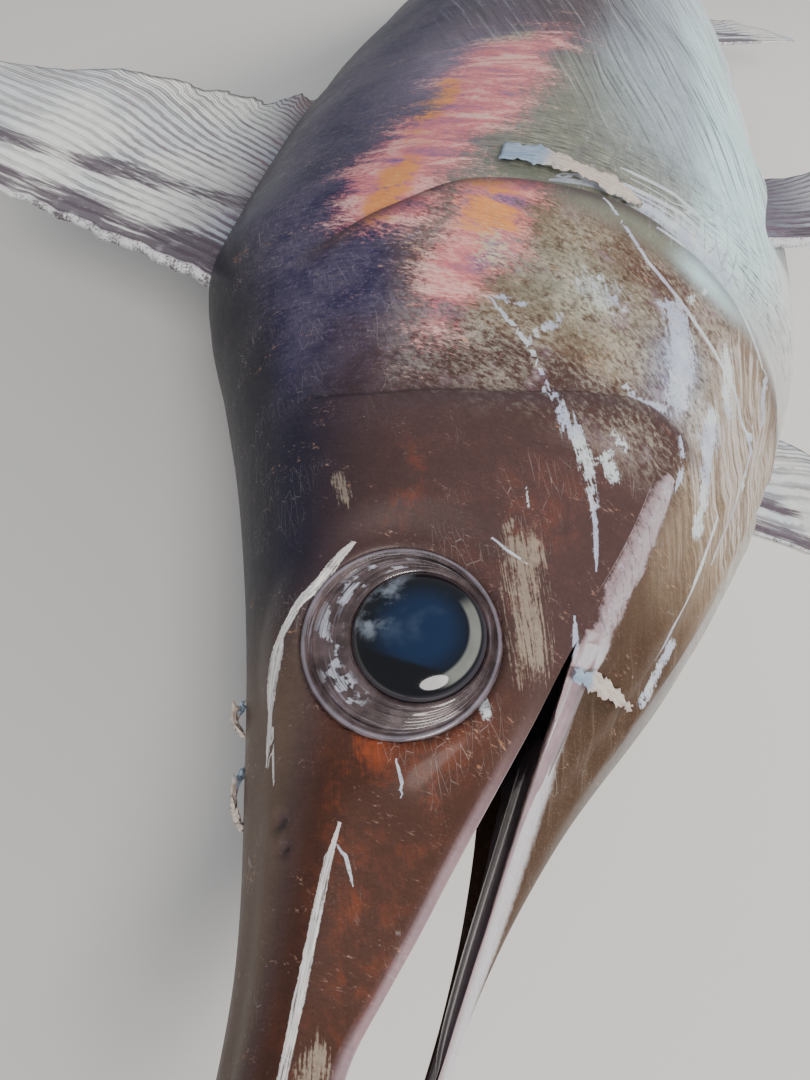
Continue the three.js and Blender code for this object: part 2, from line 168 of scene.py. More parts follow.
# Lips and mouth
SILVER_LIP = (0.560, 0.540, 0.555)
PINK_LIP = (0.400, 0.260, 0.275)
LIP_MAUVE = (0.360, 0.250, 0.275)
LIP_STREAK = (0.360, 0.260, 0.270)
# Painted glints and painted highlight of the lip band
LIP_SPARKLE = (0.900, 0.900, 0.920)
LIP_SHINE = (0.740, 0.730, 0.760)
RIDGE_PINK = (0.400, 0.290, 0.310)
RIDGE_PALE = (0.600, 0.600, 0.700)
RIDGE_DARK = (0.140, 0.075, 0.075)
# Painted shade deep inside the mouth
MOUTH_SHADE = (0.080, 0.062, 0.070)
TONGUE_MAUVE = (0.160, 0.120, 0.140)
LINING_PALE = (0.200, 0.150, 0.170)

# Fins
FIN_SILVER = (0.880, 0.880, 0.830)
FIN_EDGE_DARK = (0.055, 0.040, 0.045)
FIN_ROOT = (0.130, 0.105, 0.150)
FIN_BLUE = (0.560, 0.680, 0.800)
FIN_PURPLE = (0.115, 0.085, 0.125)
FIN_PLUM = (0.150, 0.085, 0.120)
FIN_RUST = (0.260, 0.110, 0.070)
FIN_COMB = (0.120, 0.100, 0.110)
FIN_WARM = (0.340, 0.220, 0.150)
FIN_BAR = (0.100, 0.070, 0.090)
FIN_FLECK = (0.460, 0.440, 0.470)
FIN_RIM = (0.850, 0.850, 0.850)

# Rings and domes of the eyes
RING_DARK = (0.046, 0.024, 0.022)
RING_BROWN = (0.125, 0.080, 0.080)
RING_CIRCLE = (0.340, 0.320, 0.380)
RING_PATCH = (0.580, 0.600, 0.680)
RING_EDGE = (0.360, 0.330, 0.400)
DOME_BLACK = (0.004, 0.004, 0.006)
DOME_BLUE = (0.006, 0.019, 0.056)
DOME_HAZE = (0.080, 0.120, 0.180)
# Painted shade and painted reflections of clouds and of a bright strip on the dome
DOME_SHADE = (0.003, 0.003, 0.004)
DOME_CLOUD_REFLECTION = (0.420, 0.480, 0.560)
DOME_STRIP_REFLECTION = (0.260, 0.270, 0.240)
DOME_EDGE = (0.050, 0.045, 0.055)

# Torn skin
SHRED_GREY = (0.400, 0.340, 0.320)
SHRED_CREAM = (0.800, 0.680, 0.580)
SHRED_BLUE = (0.220, 0.360, 0.560)
SHRED_ICE = (0.620, 0.720, 0.800)
SHRED_PINK = (0.620, 0.400, 0.320)

# Floor and lights
FLOOR_GREY = (0.720, 0.700, 0.670)
SKY_BLUE = (0.800, 0.880, 1.000)
WARM_WHITE = (1.000, 0.970, 0.930)
LAMP_YELLOW = (1.000, 0.940, 0.860)


def profile(*knots):
    """A smooth curve through (place, value) knots that never overshoots them."""
    places, values = np.array(knots, float).T
    steps = np.diff(places)
    slopes = np.diff(values) / steps
    tangents = np.concatenate([slopes[:1], np.zeros(len(slopes) - 1), slopes[-1:]])
    before, after = slopes[:-1], slopes[1:]
    same = before * after > 0
    tangents[1:-1][same] = 2 * before[same] * after[same] / (before[same] + after[same])

    def curve(place):
        place = np.clip(place, places[0], places[-1])
        part = np.clip(np.searchsorted(places, place) - 1, 0, len(steps) - 1)
        step = steps[part]
        t = (place - places[part]) / step
        start = (1 + 2 * t) * (1 - t) ** 2 * values[part] + t * (1 - t) ** 2 * step * tangents[part]
        end = t * t * (3 - 2 * t) * values[part + 1] + t * t * (t - 1) * step * tangents[part + 1]
        return start + end

    return curve


def smooth(value, low, high):
    """0 below low and 1 above high, with a soft change between them; low may be the higher one."""
    share = np.clip((value - low) / (high - low), 0, 1)
    return share * share * (3 - 2 * share)


def hump(value, centre, reach):
    """A soft bell that is 1 at its centre."""
    return np.exp(-((value - centre) / reach) ** 2)


def unit(vectors):
    """Vectors of the same directions with a length of 1."""
    length = np.linalg.norm(vectors, axis=-1, keepdims=True)
    return vectors / np.maximum(length, 1e-9)


# Outline of the fish
back_line = profile((-812, -17), (-800, -20), (-500, -25), (-120, -33), (0, -38), (50, -44), (150, -75),
                    (285, -130), (365, -172), (409, -198), (450, -214), (600, -223), (720, -223),
                    (860, -214), (1000, -197), (1300, -132), (1600, -56), (1700, -37), (1850, -33),
                    (1905, -12))
belly_line = profile((0, 36), (50, 43.5), (100, 55.5), (150, 73.5), (285, 136), (365, 164), (450, 186),
                     (520, 195), (600, 194), (720, 176), (860, 164), (1150, 144), (1300, 128), (1600, 72),
                     (1700, 56), (1850, 51), (1905, 30))
widest_line = profile((-812, -15), (-120, -19), (100, -22), (285, 0), (365, -3), (450, -12), (720, -20),
                      (860, -25), (1000, -22), (1300, 0), (1600, 8), (1850, 9))
half_thickness = profile((-812, 3), (-800, 8), (-700, 15), (-500, 23), (-120, 34), (50, 41), (100, 50),
                         (285, 100), (450, 142), (600, 154), (720, 150), (860, 143), (1000, 131), (1300, 93),
                         (1600, 46), (1700, 35), (1850, 18), (1905, 4))
middle_height = profile((-812, 150), (0, 159), (285, 159), (450, 155), (720, 147), (860, 139), (1000, 129),
                        (1300, 98), (1600, 64), (1700, 58), (1850, 48), (1905, 42))
back_fullness = profile((0, 2.1), (188, 2.4), (365, 2.1), (520, 1.7), (720, 1.65), (1300, 2))
belly_fullness = profile((0, 2), (188, 1.8), (365, 1.8), (520, 2))
roof_line = profile((-812, -13), (-800, -10), (-120, -6), (44, 0), (95, 13), (153, 29), (216, 44), (300, 62))
upper_lip = profile((-812, -13.6), (-800, -11.5), (-500, -9.5), (-120, -8), (0, -4), (44, -2), (69, 5),
                    (95, 12), (123, 19), (185, 36), (216, 43), (226, 46))
lower_lip = profile((0, 31), (40, 36.5), (80, 41.5), (120, 45), (160, 46.5), (200, 47), (226, 46))
jaw_narrowing = profile((0, 0.55), (60, 0.52), (120, 0.66), (180, 0.8), (226, 1))
head_underside = profile((-812, -13), (-800, -10), (-120, -6), (-60, 2), (0, 24), (44, 42), (50, 43.5),
                         (100, 55.5), (150, 73.5), (285, 136))
cover_front_edge = profile((0, 296), (34, 304), (52, 304), (79, 316), (100, 337), (114, 350), (121, 349),
                           (150, 325), (180, 300))
cover_rear_edge = profile((0, 380), (30, 384), (47, 397), (60, 418), (72, 444), (86, 455), (105, 463),
                          (120, 458), (142, 446), (160, 405), (172, 368), (180, 355))

# Shape of the two folds across their lines: lift off the body, and slide towards the tail
rim_lift = profile((-70, 0), (-30, 1.0), (-12, 3.4), (-6, 4.6), (-2.5, 4.8), (-0.8, 4.2), (0.2, 2.8),
                   (0.8, 0.6), (1.6, -2.2), (3, -3.2), (6, -3.0), (14, -2.0), (50, 0))
rim_slide = profile((-3, 0), (-0.8, 0.6), (0.2, 1.0), (0.8, -0.6), (1.6, -4.5), (3, -4.0), (5, -2.0),
                    (8, 0))
cheek_lift = profile((-26, 0), (-8, 1.4), (-2.5, 1.9), (0, 1.2), (1.2, -0.8), (3, -1.6), (7, -1.0), (24, 0))


def bent_station(nominal, angle):
    """The real station of a ring that bends to follow the edges of the gill cover."""
    round_body = np.abs(angle)
    front = cover_front_edge(round_body) - PREOPERCLE
    rear = cover_rear_edge(round_body) - OPERCLE
    rise = np.clip((nominal - FOLDS_START) / (PREOPERCLE - FOLDS_START), 0, 1)
    turn = np.clip((nominal - PREOPERCLE) / (OPERCLE - PREOPERCLE), 0, 1)
    fade = 1 - np.clip((nominal - OPERCLE) / (FOLDS_END - OPERCLE), 0, 1)
    return nominal + (front * rise * (1 - turn) + rear * turn) * fade


def outside(y, angle, underside=belly_line):
    """The smooth outside of the body at a station and an angle."""
    turn = np.radians(angle)
    cos, sin = np.cos(turn), np.sin(turn)
    on_back = cos > 0
    power = 2 / np.where(on_back, back_fullness(y), belly_fullness(y))
    wide = widest_line(y)
    reach = np.where(on_back, wide - back_line(y), underside(y) - wide)
    x = wide - reach * np.sign(cos) * np.abs(cos) ** power
    z = middle_height(y) + half_thickness(y) * np.sign(sin) * np.abs(sin) ** power
    return np.stack(np.broadcast_arrays(x, y, z), -1)


def outward(y, angle, underside=belly_line):
    """The way the smooth outside faces."""
    along = outside(y + 1, angle, underside) - outside(y - 1, angle, underside)
    round_body = outside(y, angle + 0.5, underside) - outside(y, angle - 0.5, underside)
    return unit(np.cross(round_body, along))


def lip_angle(y, lip, underside):
    """The angle at which the outside reaches the height of a lip."""
    wide = widest_line(y)
    share = np.clip((lip(y) - wide) / (underside(y) - wide), 0, 1)
    return 180 - np.degrees(np.arccos(share ** (belly_fullness(y) / 2)))


def eye_frame(side):
    """Centre and facing of one eye: 1 for the left, -1 for the right."""
    facing = unit(EYE_FACING * (1, 1, side))
    centre = EYE_CENTRE.copy()
    centre[2] = MID_PLANE + side * (EYE_CENTRE[2] - MID_PLANE)
    return centre, facing


socket_height = profile((0, -9), (38, -9), (41.5, -5), (43, 0.2), (44.5, 1.3), (48, 0.7), (56, 0))


def sink_eyes(points):
    """Flatten the skin round each eye and sink a socket into it."""
    for side in (1, -1):
        centre, facing = eye_frame(side)
        offset = points - centre
        height = offset @ facing
        radius = np.linalg.norm(offset - height[..., None] * facing, axis=-1)
        near = smooth(radius, 68, 47) * (np.abs(height) < 60)
        points = points + ((socket_height(radius) - height) * near)[..., None] * facing
    return points


# Marks on the head, each a line of (station, angle) points with a half width in millimetres
WHITE_STRIPS = [
    ([(233, 58), (224, 54), (212, 49), (203, 43), (196, 39)], 2.4),
    ([(197, 41), (190, 37), (183, 34.5)], 2.0),
    ([(187, 36), (178, 33.5), (168, 31.5), (159, 30.5)], 4.4),
    ([(164, 31.5), (154, 30.5), (141, 30)], 2.2),
    ([(150, 34), (140, 36), (131, 38)], 0.8),
    ([(116, 80), (104, 79.5), (92, 80), (80, 81), (60, 83), (40, 86), (20, 90)], 1.9),
]
FINE_SCRAPES = [
    ([(368, 78), (356, 83), (348, 86), (332, 90)], 1.3),
    ([(456, 94), (452, 96), (432, 105), (416, 118), (404, 131), (388, 142), (364, 148)], 1.4),
    ([(400, 140), (380, 143), (350, 146), (316, 148)], 1.5),
    ([(330, 140), (304, 142), (276, 144), (250, 146)], 1.4),
    ([(232, 116), (222, 120), (214, 125)], 1.8),
    ([(112, 82), (108, 88), (102, 92)], 0.7),
    ([(148, 91), (142, 95), (136, 97)], 0.7),
    ([(250, 88), (246, 93), (244, 99)], 0.6),
    ([(276, 92), (268, 94)], 0.6),
    ([(290, 106), (276, 110), (260, 114)], 1.5),
    ([(466, 84), (474, 92), (478, 102), (476, 112), (468, 122)], 2.6),
    ([(474, 86), (486, 98), (490, 108), (484, 120)], 1.8),
    ([(458, 104), (462, 114), (456, 124), (440, 136)], 1.6),
    ([(498, 96), (502, 106), (496, 118)], 1.5),
]
BROAD_SCRAPES = [
    ([(330, 90), (320, 94.5), (312, 98)], 3.0),
    ([(316, 97), (307, 101), (300, 104)], 5.2),
    ([(304, 102.5), (292, 106), (284, 108)], 3.4),
    ([(318, 96), (311, 100)], 5.5),
    ([(310, 107), (304, 110)], 5.0),
    ([(324, 107), (321, 110)], 3.0),
    ([(373, 89), (366, 89), (360, 87), (351, 86)], 3.0),
    ([(371, 79), (370, 84)], 2.4),
    ([(410, 113), (398, 115), (384, 117), (366, 118)], 11.0),
    ([(444, 117), (430, 115), (418, 112), (410, 108)], 2.4),
    ([(352, 106), (350, 111), (356, 116)], 2.8),
    ([(404, 96), (398, 99), (392, 103)], 2.6),
    ([(420, 126), (404, 128), (388, 131)], 5.5),
    ([(376, 127), (352, 130), (332, 134), (314, 136)], 6.0),
    ([(440, 138), (426, 140), (410, 143)], 3.6),
    ([(346, 121), (338, 124), (326, 125), (312, 123)], 2.6),
    ([(262, 150), (244, 151), (228, 153)], 3.6),
    ([(180, 105), (176, 109)], 3.4),
]
BRUSHED_PATCHES = [
    ([(248, 96.5), (226, 104), (206, 111)], 11.5),
    ([(262, 90), (250, 93)], 2.6),
    ([(256, 99), (246, 102)], 4.0),
    ([(262, 51), (252, 54)], 4.0),
    ([(44, 98), (22, 101)], 8.0),
]
JAW_RIDGE = ([(322, 122), (300, 122), (276, 122), (252, 123), (234, 125), (222, 127)], 7.5)
LOWER_BAND_WIDTH = 8.2

# How far off a mark it is still near: to its sides, and beyond the ends of short and long stretches
MARK_MARGIN = 4.5
SHORT_STRETCH = 12
BEYOND_SHORT, BEYOND_LONG = 2.5, 4.0

# Nostrils: station, angle and radius
NOSTRILS = [(117, 46, 3.0), (108, 51, 2.2)]

# What is painted away from any mark: how far across one in half widths, and how deep inside a patch
FAR_ACROSS = 9.0
FAR_OUTSIDE = -3.0


def lower_band():
    """The broad silver band along the lip of the lower jaw."""
    stations = np.array((228, 206, 184, 160, 128, 100, 76, 50, 24), float)
    angles = lip_angle(stations, lower_lip, belly_line)
    angles = angles + np.degrees(LOWER_BAND_WIDTH * 0.55 / half_thickness(stations))
    return list(zip(stations, angles)), LOWER_BAND_WIDTH


def mark_points(line):
    """Points in space of a line of (station, angle) pairs, and the way the body faces there."""
    y, angle = np.array(line, float).T
    return outside(y, angle), outward(y, angle)


def measure_patches(points, marks):
    """How deep each point lies inside the broadest mark near it: 1 on its middle line, 0 at its side."""
    depth = np.full(len(points), FAR_OUTSIDE)
    for line, half_width in marks:
        spots, _ = mark_points(line)
        for start, end in zip(spots[:-1], spots[1:]):
            way = end - start
            offset = points - start
            share = np.clip(offset @ way / (way @ way), 0, 1)
            distance = np.linalg.norm(offset - share[:, None] * way, axis=1)
            depth = np.maximum(depth, 1 - distance / half_width)
    return depth


def measure_marks(points, marks):
    """For each point, the nearest mark: how far across it, how far along, and whether it is near."""
    across_best = np.full(len(points), FAR_ACROSS)
    along_best = np.zeros(len(points))
    near_best = np.zeros(len(points))
    for line, half_width in marks:
        spots, faces = mark_points(line)
        run = 0.0
        lengths = np.linalg.norm(np.diff(spots, axis=0), axis=1)
        total = lengths.sum()
        for start, end, face, length in zip(spots[:-1], spots[1:], faces[:-1], lengths):
            way = (end - start) / length
            aside = unit(np.cross(face, way))
            offset = points - start
            along = offset @ way
            across = offset @ aside
            place = np.clip(along, 0, length)
            whole = (run + place) / total
            taper = 0.35 + 0.65 * np.sqrt(np.clip(4 * whole * (1 - whole), 0, 1))
            share = across / (half_width * taper)
            distance = np.linalg.norm(offset - place[:, None] * way, axis=1)
            beyond = np.abs(along - place) > (BEYOND_SHORT if length < SHORT_STRETCH else BEYOND_LONG)
            near = (distance < half_width + MARK_MARGIN) & ~beyond
            better = near & (np.abs(share) < np.abs(across_best))
            across_best[better] = np.clip(share[better], -FAR_ACROSS, FAR_ACROSS)
            along_best[better] = run + place[better]
            near_best[better] = 1
            run += length
    return across_best, along_best, near_best


def fold_lift(nominal, y, round_body):
    """Rise of the gill cover's rear edge, of the cheek's edge and of the pleats of the throat."""
    rim = smooth(round_body, 40, 58) * (1 - 0.55 * smooth(round_body, 96, 116))
    rim = rim * (1 - smooth(round_body, 166, 178))
    cheek = smooth(round_body, 32, 44) * (1 - smooth(round_body, 116, 128))
    throat = smooth(round_body, 128, 140) * smooth(y, 140, 230) * (1 - smooth(y, 400, 440))
    pleats = 1.5 * np.sin(np.radians(round_body * 26)) + 0.5 * np.sin(round_body * 1.9 + y * 0.05)
    lift = rim_lift(nominal - OPERCLE) * rim + cheek_lift(nominal - PREOPERCLE) * cheek + throat * pleats
    return lift, rim_slide(nominal - OPERCLE) * rim


def jaw_lift(smooth_points):
    """Rise of the ridge behind the jaw joint and of the band along the lip of the lower jaw."""
    flat = smooth_points.reshape(-1, 3)
    lift = 2.6 * smooth(measure_patches(flat, [(JAW_RIDGE[0], 8)]), 0, 0.9)
    lift = lift + 1.6 * smooth(measure_patches(flat, [(lower_band()[0], 7)]), 0, 0.8)
    return lift.reshape(smooth_points.shape[:-1])


def lift_skin(nominal, y, angle, smooth_points):
    """How far each point rises off the smooth body, and how far it slides towards the tail."""
    round_body = np.abs(angle)
    lift, slide = fold_lift(nominal, y, round_body)
    lift = lift + jaw_lift(smooth_points)
    # Side keels of the tail stock
    keel = np.clip((y - KEEL_START) / (KEEL_END - KEEL_START), 0, 1)
    lift = lift + KEEL_HEIGHT * np.sin(np.pi * keel) ** 0.8 * hump(round_body, 90, 13)
    # Long shallow furrows on the snout and slack skin on the flank
    snout = smooth(y, 330, 120) * smooth(y, -300, 0)
    lift = lift + snout * 0.7 * np.sin(np.radians(round_body * 9) + 0.012 * y)
    flank = smooth(y, 470, 620) * (1 - smooth(y, 1400, 1700))
    slack = np.sin(y * 0.021 + round_body * 0.06) + 0.6 * np.sin(y * 0.053 - round_body * 0.11 + 1.3)
    lift = lift + flank * 0.8 * slack
    for station, at_angle, radius in NOSTRILS:
        gap = np.linalg.norm(smooth_points - outside(station, at_angle), axis=-1)
        lift = lift - 2.6 * hump(gap, 0, radius) + 0.7 * hump(gap, 1.9 * radius, radius)
    return lift, slide


def skin_sheet(nominal, angle, underside, shrink):
    """A grid of finished skin over rings of stations and columns of angles, with each point's place.

    A ring near a tip shrinks about its centre by one share across the depth and one across the width.
    """
    signed = (angle + 180) % 360 - 180
    y = bent_station(nominal, signed)
    base = outside(y, angle, underside)
    lift, slide = lift_skin(nominal, y, signed, base)
    points = base + outward(y, angle, underside) * lift[..., None]
    points[..., 1] += slide
    points = sink_eyes(points)
    centre, deep, wide = shrink
    points[..., 0] = centre + (points[..., 0] - centre) * deep
    points[..., 2] = middle_height(y) + (points[..., 2] - middle_height(y)) * wide
    points[..., 2] = np.maximum(points[..., 2], 0)
    arc = arc_from_back(y, np.abs(signed))
    place = np.stack([y, arc, np.abs(signed), np.sin(np.radians(signed))], -1)
    return points, place


def arc_from_back(y, round_body):
    """Distance round the body from the back, near enough for laying out patterns."""
    size = 0.5 * (half_thickness(y) + 0.5 * (belly_line(np.maximum(y, 0)) - back_line(y)))
    return np.radians(round_body) * size


def spaced(start, end, step):
    """Even places from start up to but not including end."""
    count = max(1, round((end - start) / step))
    return np.linspace(start, end, count, endpoint=False)


# Places of rings across the edges of the gill cover and the cheek, and the step between the head's rings
RIM_STEPS = np.array((-10, -8, -6, -4.5, -3.2, -2.2, -1.4, -0.8, -0.3, 0.2, 0.5, 0.8, 1.2, 1.6, 2.2, 3, 4, 5,
                      6.5, 8, 10))
CHEEK_STEPS = np.array((-6, -4.2, -2.5, -1.2, -0.4, 0.3, 1.2, 2, 3, 4.5))
HEAD_STEP = 2.6


def ring_stations():
    """Places of the rings of skin, close together where it has folds."""
    return np.concatenate([
        [BILL_TIP, BILL_TIP + 1, BILL_TIP + 3.5, BILL_TIP + 7],
        spaced(BILL_TIP + BILL_ROUNDING, -60, 9),
        spaced(-60, JAW_TIP, 3),
        [0, 0.5, 1.5, 3.5],
        spaced(6, MOUTH_CORNER, HEAD_STEP),
        spaced(MOUTH_CORNER, POCKET_END, HEAD_STEP),
        spaced(POCKET_END, PREOPERCLE - 7, HEAD_STEP),
        PREOPERCLE + CHEEK_STEPS,
        spaced(PREOPERCLE + 7, OPERCLE - 12, 2.8),
        OPERCLE + RIM_STEPS,
        spaced(OPERCLE + 12.5, 500, 3.2),
        spaced(500, 700, 6),
        spaced(700, 1600, 13),
        spaced(1600, SKIN_END, 8),
        [SKIN_END],
    ])


def even_shares(count):
    """Even shares from 0 to 1, with two more close to 1."""
    return np.union1d(np.linspace(0, 1, count + 1), (0.985, 0.995))


class Surface:
    """Points, faces and painted values of a mesh while it is put together."""

    def __init__(self):
        self.points = []
        self.faces = []
        self.values = {}
        self.kinds = []
        self.count = 0

    def add_grid(self, points, kind, values, flip=False):
        """Add a grid of points as quads, with values to paint at each point."""
        rows, columns = points.shape[:2]
        index = np.arange(rows * columns).reshape(rows, columns) + self.count
        corners = [index[:-1, :-1], index[:-1, 1:], index[1:, 1:], index[1:, :-1]]
        if flip:
            corners.reverse()
        quads = np.stack(corners, -1).reshape(-1, 4)
        self.points.append(points.reshape(-1, 3))
        self.faces.append(quads)
        self.kinds.append(np.full(len(quads), kind))
        for name, value in values.items():
            self.values.setdefault(name, []).append(value.reshape(rows * columns, -1))
        self.count += rows * columns

    def build(self, name, materials):
        """Weld the grids together and make the object."""
        points = np.round(np.concatenate(self.points), 3)
        kinds = np.concatenate(self.kinds)
        _, first, welded = np.unique(points, axis=0, return_index=True, return_inverse=True)
        quads = welded.reshape(-1)[np.concatenate(self.faces)]
        faces = []
        kept = []
        for number, quad in enumerate(quads):
            corners = list(dict.fromkeys(quad.tolist()))
            if len(corners) > 2:
                faces.append(corners)
                kept.append(number)
        painted = {key: np.concatenate(parts)[first] for key, parts in self.values.items()}
        return new_piece(name, points[first], faces, materials, painted, kinds[kept])


def new_piece(name, points, faces, materials, painted, kinds=None):
    """Make an object from points in millimetres, with values painted on them, its faces looking out."""
    mesh = bpy.data.meshes.new(name)
    places = np.array(points) * MM + np.array(ORIGIN)
    mesh.from_pydata(places.tolist(), [], faces)
    mesh.polygons.foreach_set("use_smooth", np.ones(len(faces), bool))
    if kinds is not None:
        mesh.polygons.foreach_set("material_index", kinds.astype(np.int32))
    for value_name, values in painted.items():
        values = np.array(values, np.float32)
        kind, field = ("FLOAT_VECTOR", "vector") if values.shape[1] == 3 else ("FLOAT_COLOR", "color")
        layer = mesh.attributes.new(value_name, kind, "POINT")
        layer.data.foreach_set(field, values.ravel())
    for material in materials:
        mesh.materials.append(material)
    work = bmesh.new()
    work.from_mesh(mesh)
    bmesh.ops.recalc_face_normals(work, faces=work.faces)
    work.to_mesh(mesh)
    work.free()
    piece = bpy.data.objects.new(name, mesh)
    bpy.context.collection.objects.link(piece)
    return piece


def blend(base, colour, amount):
    """Lay a colour over a painted grid by an amount from 0 to 1."""
    amount = np.asarray(amount)[..., None]
    return base * (1 - amount) + np.array(colour) * amount


def oval(y, turn, station, length, angle, width):
    """A soft patch on the body: 1 at a station and an angle, fading over a length and a width."""
    return hump(y, station, length) * hump(turn, angle, width)


def strongest(*amounts):
    """The strongest of several amounts at each point."""
    return np.maximum.reduce(amounts)


class Zones:
    """Where a grid of skin lies on the body, with a soft mask from 0 to 1 for each of the body's parts."""

    def __init__(self, place):
        y, arc, turn, side = np.moveaxis(place, -1, 0)
        self.y = y
        self.arc = arc
        self.turn = turn
        self.side = side
        self.left = smooth(side, -0.1, 0.1)
        self.head = smooth(y, 452, 425)
        self.cover = smooth(y, 300, 330) * self.head * smooth(turn, 56, 68)
        self.cheek = smooth(y, 356, 344) * smooth(turn, 34, 66)
        self.snout = smooth(y, 230, 150)
        self.throat = smooth(turn, 121, 130) * smooth(y + 20 * smooth(turn, 132, 150), 458, 424)
        self.muscle = (1 - smooth(turn, 150, 170)) * strongest(
            smooth(y, 490, 580) * smooth(turn, 66, 88),
            smooth(y, 590, 680) * smooth(turn, 40, 62))


# Patches on the gill cover: colour, station and length, angle and width, and strength
COVER_PATCHES = [
    (COVER_MOSS, 392, 24, 92, 12, 0.5),
    (COVER_RUSSET, 428, 18, 107, 10, 0.9),
    (COVER_BAY, 343, 14, 88, 14, 0.8),
    (COVER_BLUE, 376, 26, 116, 7, 0.8),
]


def tint_trunk(zones):
    """Dark violet back, olive and dusky flank, turquoise edge brightened by a painted highlight, and white
    belly.
    """
    y, turn = zones.y, zones.turn
    wavy = turn + 3 * np.sin(y * 0.012) + 2 * np.sin(y * 0.031 + 1)
    tint = np.broadcast_to(np.array(NAPE_BLACK), y.shape + (3,))
    tint = blend(tint, NAPE_VIOLET, smooth(turn, 10, 34))
    tint = blend(tint, BACK_SLATE, smooth(y, 620, 900) * smooth(turn, 12, 40))
    tint = blend(tint, GILL_OLIVE, smooth(wavy, 50, 70))
    tint = blend(tint, FLANK_DUSK, smooth(wavy, 46, 66) * smooth(y, 590, 650))
    tint = blend(tint, FLANK_PALE, smooth(wavy, 80, 110) * smooth(y, 470, 560))
    # Pale turquoise edge of the belly, made brighter as a painted highlight
    tint = blend(tint, BELLY_EDGE_AND_HIGHLIGHT, smooth(turn, 106, 116))
    tint = blend(tint, FLANK_SILVER, smooth(turn, 100, 114) * smooth(y, 700, 950) * 0.8)
    tint = blend(tint, BELLY_WHITE, smooth(turn, 124, 145))
    return blend(tint, GILL_GREY, hump(y, 460, 34) * smooth(turn, 112, 130) * 0.6)


def tint_head(tint, zones):
    """Nape, gill cover, cheek, snout, throat and upper lip, over the colours of the trunk."""
    y, turn, head, cover, throat = zones.y, zones.turn, zones.head, zones.cover, zones.throat
    tint = blend(tint, NAPE_VIOLET, head)
    tint = blend(tint, NAPE_BLACK, head * strongest(smooth(turn, 40, 24), smooth(y, 340, 300) * 0.8))
    tint = blend(tint, COVER_BROWN, cover)
    tint = blend(tint, COVER_OLIVE, cover * hump(turn, 94, 22) * smooth(y, 325, 350) * 0.9)
    for colour, station, length, angle, width, strength in COVER_PATCHES:
        tint = blend(tint, colour, cover * oval(y, turn, station, length, angle, width) * strength)
    # Pale tissue low on the gill cover, brightened as a painted highlight
    tint = blend(tint, THROAT_WHITE_AND_HIGHLIGHT, oval(y, turn, 370, 34, 131, 8) * 0.9 * zones.left)
    tint = blend(tint, BACK_LILAC, oval(y, turn, 590, 70, 60, 13) * 0.9 * zones.left)
    tint = blend(tint, SHOULDER_GREY, oval(y, turn, 480, 50, 27, 7) * 0.9)
    tint = blend(tint, CHEEK_MAROON, zones.cheek)
    tint = blend(tint, SNOUT_GREY, zones.snout * (1 - smooth(turn, 40, 62)))
    tint = blend(tint, SNOUT_BROWN, zones.snout * smooth(turn, 48, 70))
    tint = blend(tint, BILL_BROWN, smooth(y, 0, -200) * 0.7)
    tint = blend(tint, THROAT_BROWN, throat)
    tint = blend(tint, THROAT_TAN, throat * smooth(y, 235, 340) * 0.8)
    tint = blend(tint, THROAT_SILVER, throat * smooth(turn, 154, 172) * smooth(y, 90, 330) * 0.85)
    lip = lip_angle(y, upper_lip, head_underside_or_belly)
    lip_rim = smooth(turn, lip - 4.5, lip - 2.5) * smooth(turn, lip + 3, lip + 1) * smooth(y, 200, 110)
    return blend(tint, LIP_MAUVE, lip_rim * smooth(y, -400, -60) * 0.85)


def rainbow_amounts(zones):
    """How much of the rainbow sheen shows, and its orange and lime parts and the violet of the nape."""
    y, turn = zones.y, zones.turn
    bend = 3 * np.sin(y * 0.05) + 2 * np.sin(y * 0.11 + turn * 0.1)
    shoulder = hump(turn, 57 + (y - 424) * 0.075 + bend * 0.5, 10.5) * smooth(y, 380, 425)
    on_cover = hump(turn, 69 + (y - 330) * 0.07 + bend * 0.4, 7.5) * smooth(y, 296, 400)
    rainbow = zones.left * strongest(shoulder * smooth(y, 720, 580), on_cover * smooth(y, 462, 446))
    orange = strongest(
        0.9 * oval(y, turn, 440, 40, 58 + (y - 440) * 0.05, 3.2),
        0.9 * oval(y, turn, 530, 34, 59 + (y - 530) * 0.05, 3.2),
        0.8 * oval(y, turn, 424, 20, 76, 6))
    lime = strongest(0.75 * oval(y, turn, 398, 22, 77, 5), 0.8 * oval(y, turn, 640, 26, 68, 8))
    violet = smooth(turn, 16, 40) * (1 - smooth(turn, 62, 78)) * smooth(y, 270, 380)
    return rainbow, orange, lime, violet


def rust_amount(zones):
    """Rust: in front of the eye, behind it, down the snout and on the cheek."""
    y, turn = zones.y, zones.turn
    return zones.left * strongest(
        1.3 * oval(y, turn, 144, 20, 79, 10),
        0.6 * oval(y, turn, 264, 18, 68, 6),
        0.3 * zones.snout * smooth(turn, 60, 80) * (1 - smooth(turn, 104, 118)),
        0.2 * zones.cheek * oval(y, turn, 262, 40, 98, 16))


def pale_amount(zones):
    """Worn pale brush marks: under the eye, on the throat and along the gill cover's rear edge."""
    y, turn, left = zones.y, zones.turn, zones.left
    return strongest(
        0.7 * oval(y, turn, 196, 12, 112, 6) * left,
        0.7 * smooth(turn, 116, 126) * smooth(y, 320, 350) * smooth(y, 446, 420) * left,
        0.8 * oval(y - cover_rear_edge(turn), turn, 9, 5, 66, 14) * left,
        0.5 * zones.throat * smooth(y, 300, 380))


def lilac_amount(zones):
    """Lilac patches: on the gill cover's lower half, and on the membranes behind it."""
    y, turn, left = zones.y, zones.turn, zones.left
    return strongest(
        oval(y, turn, 392, 20, 115, 5.5) * left,
        0.75 * oval(y, turn, 394, 22, 97, 10) * left,
        0.45 * smooth(y, 452, 470) * hump(turn, 100, 24) * smooth(y, 760, 620),
        0.8 * oval(y, turn, 366, 24, 128, 9) * left,
        oval(y, turn, 474, 24, 110, 17))


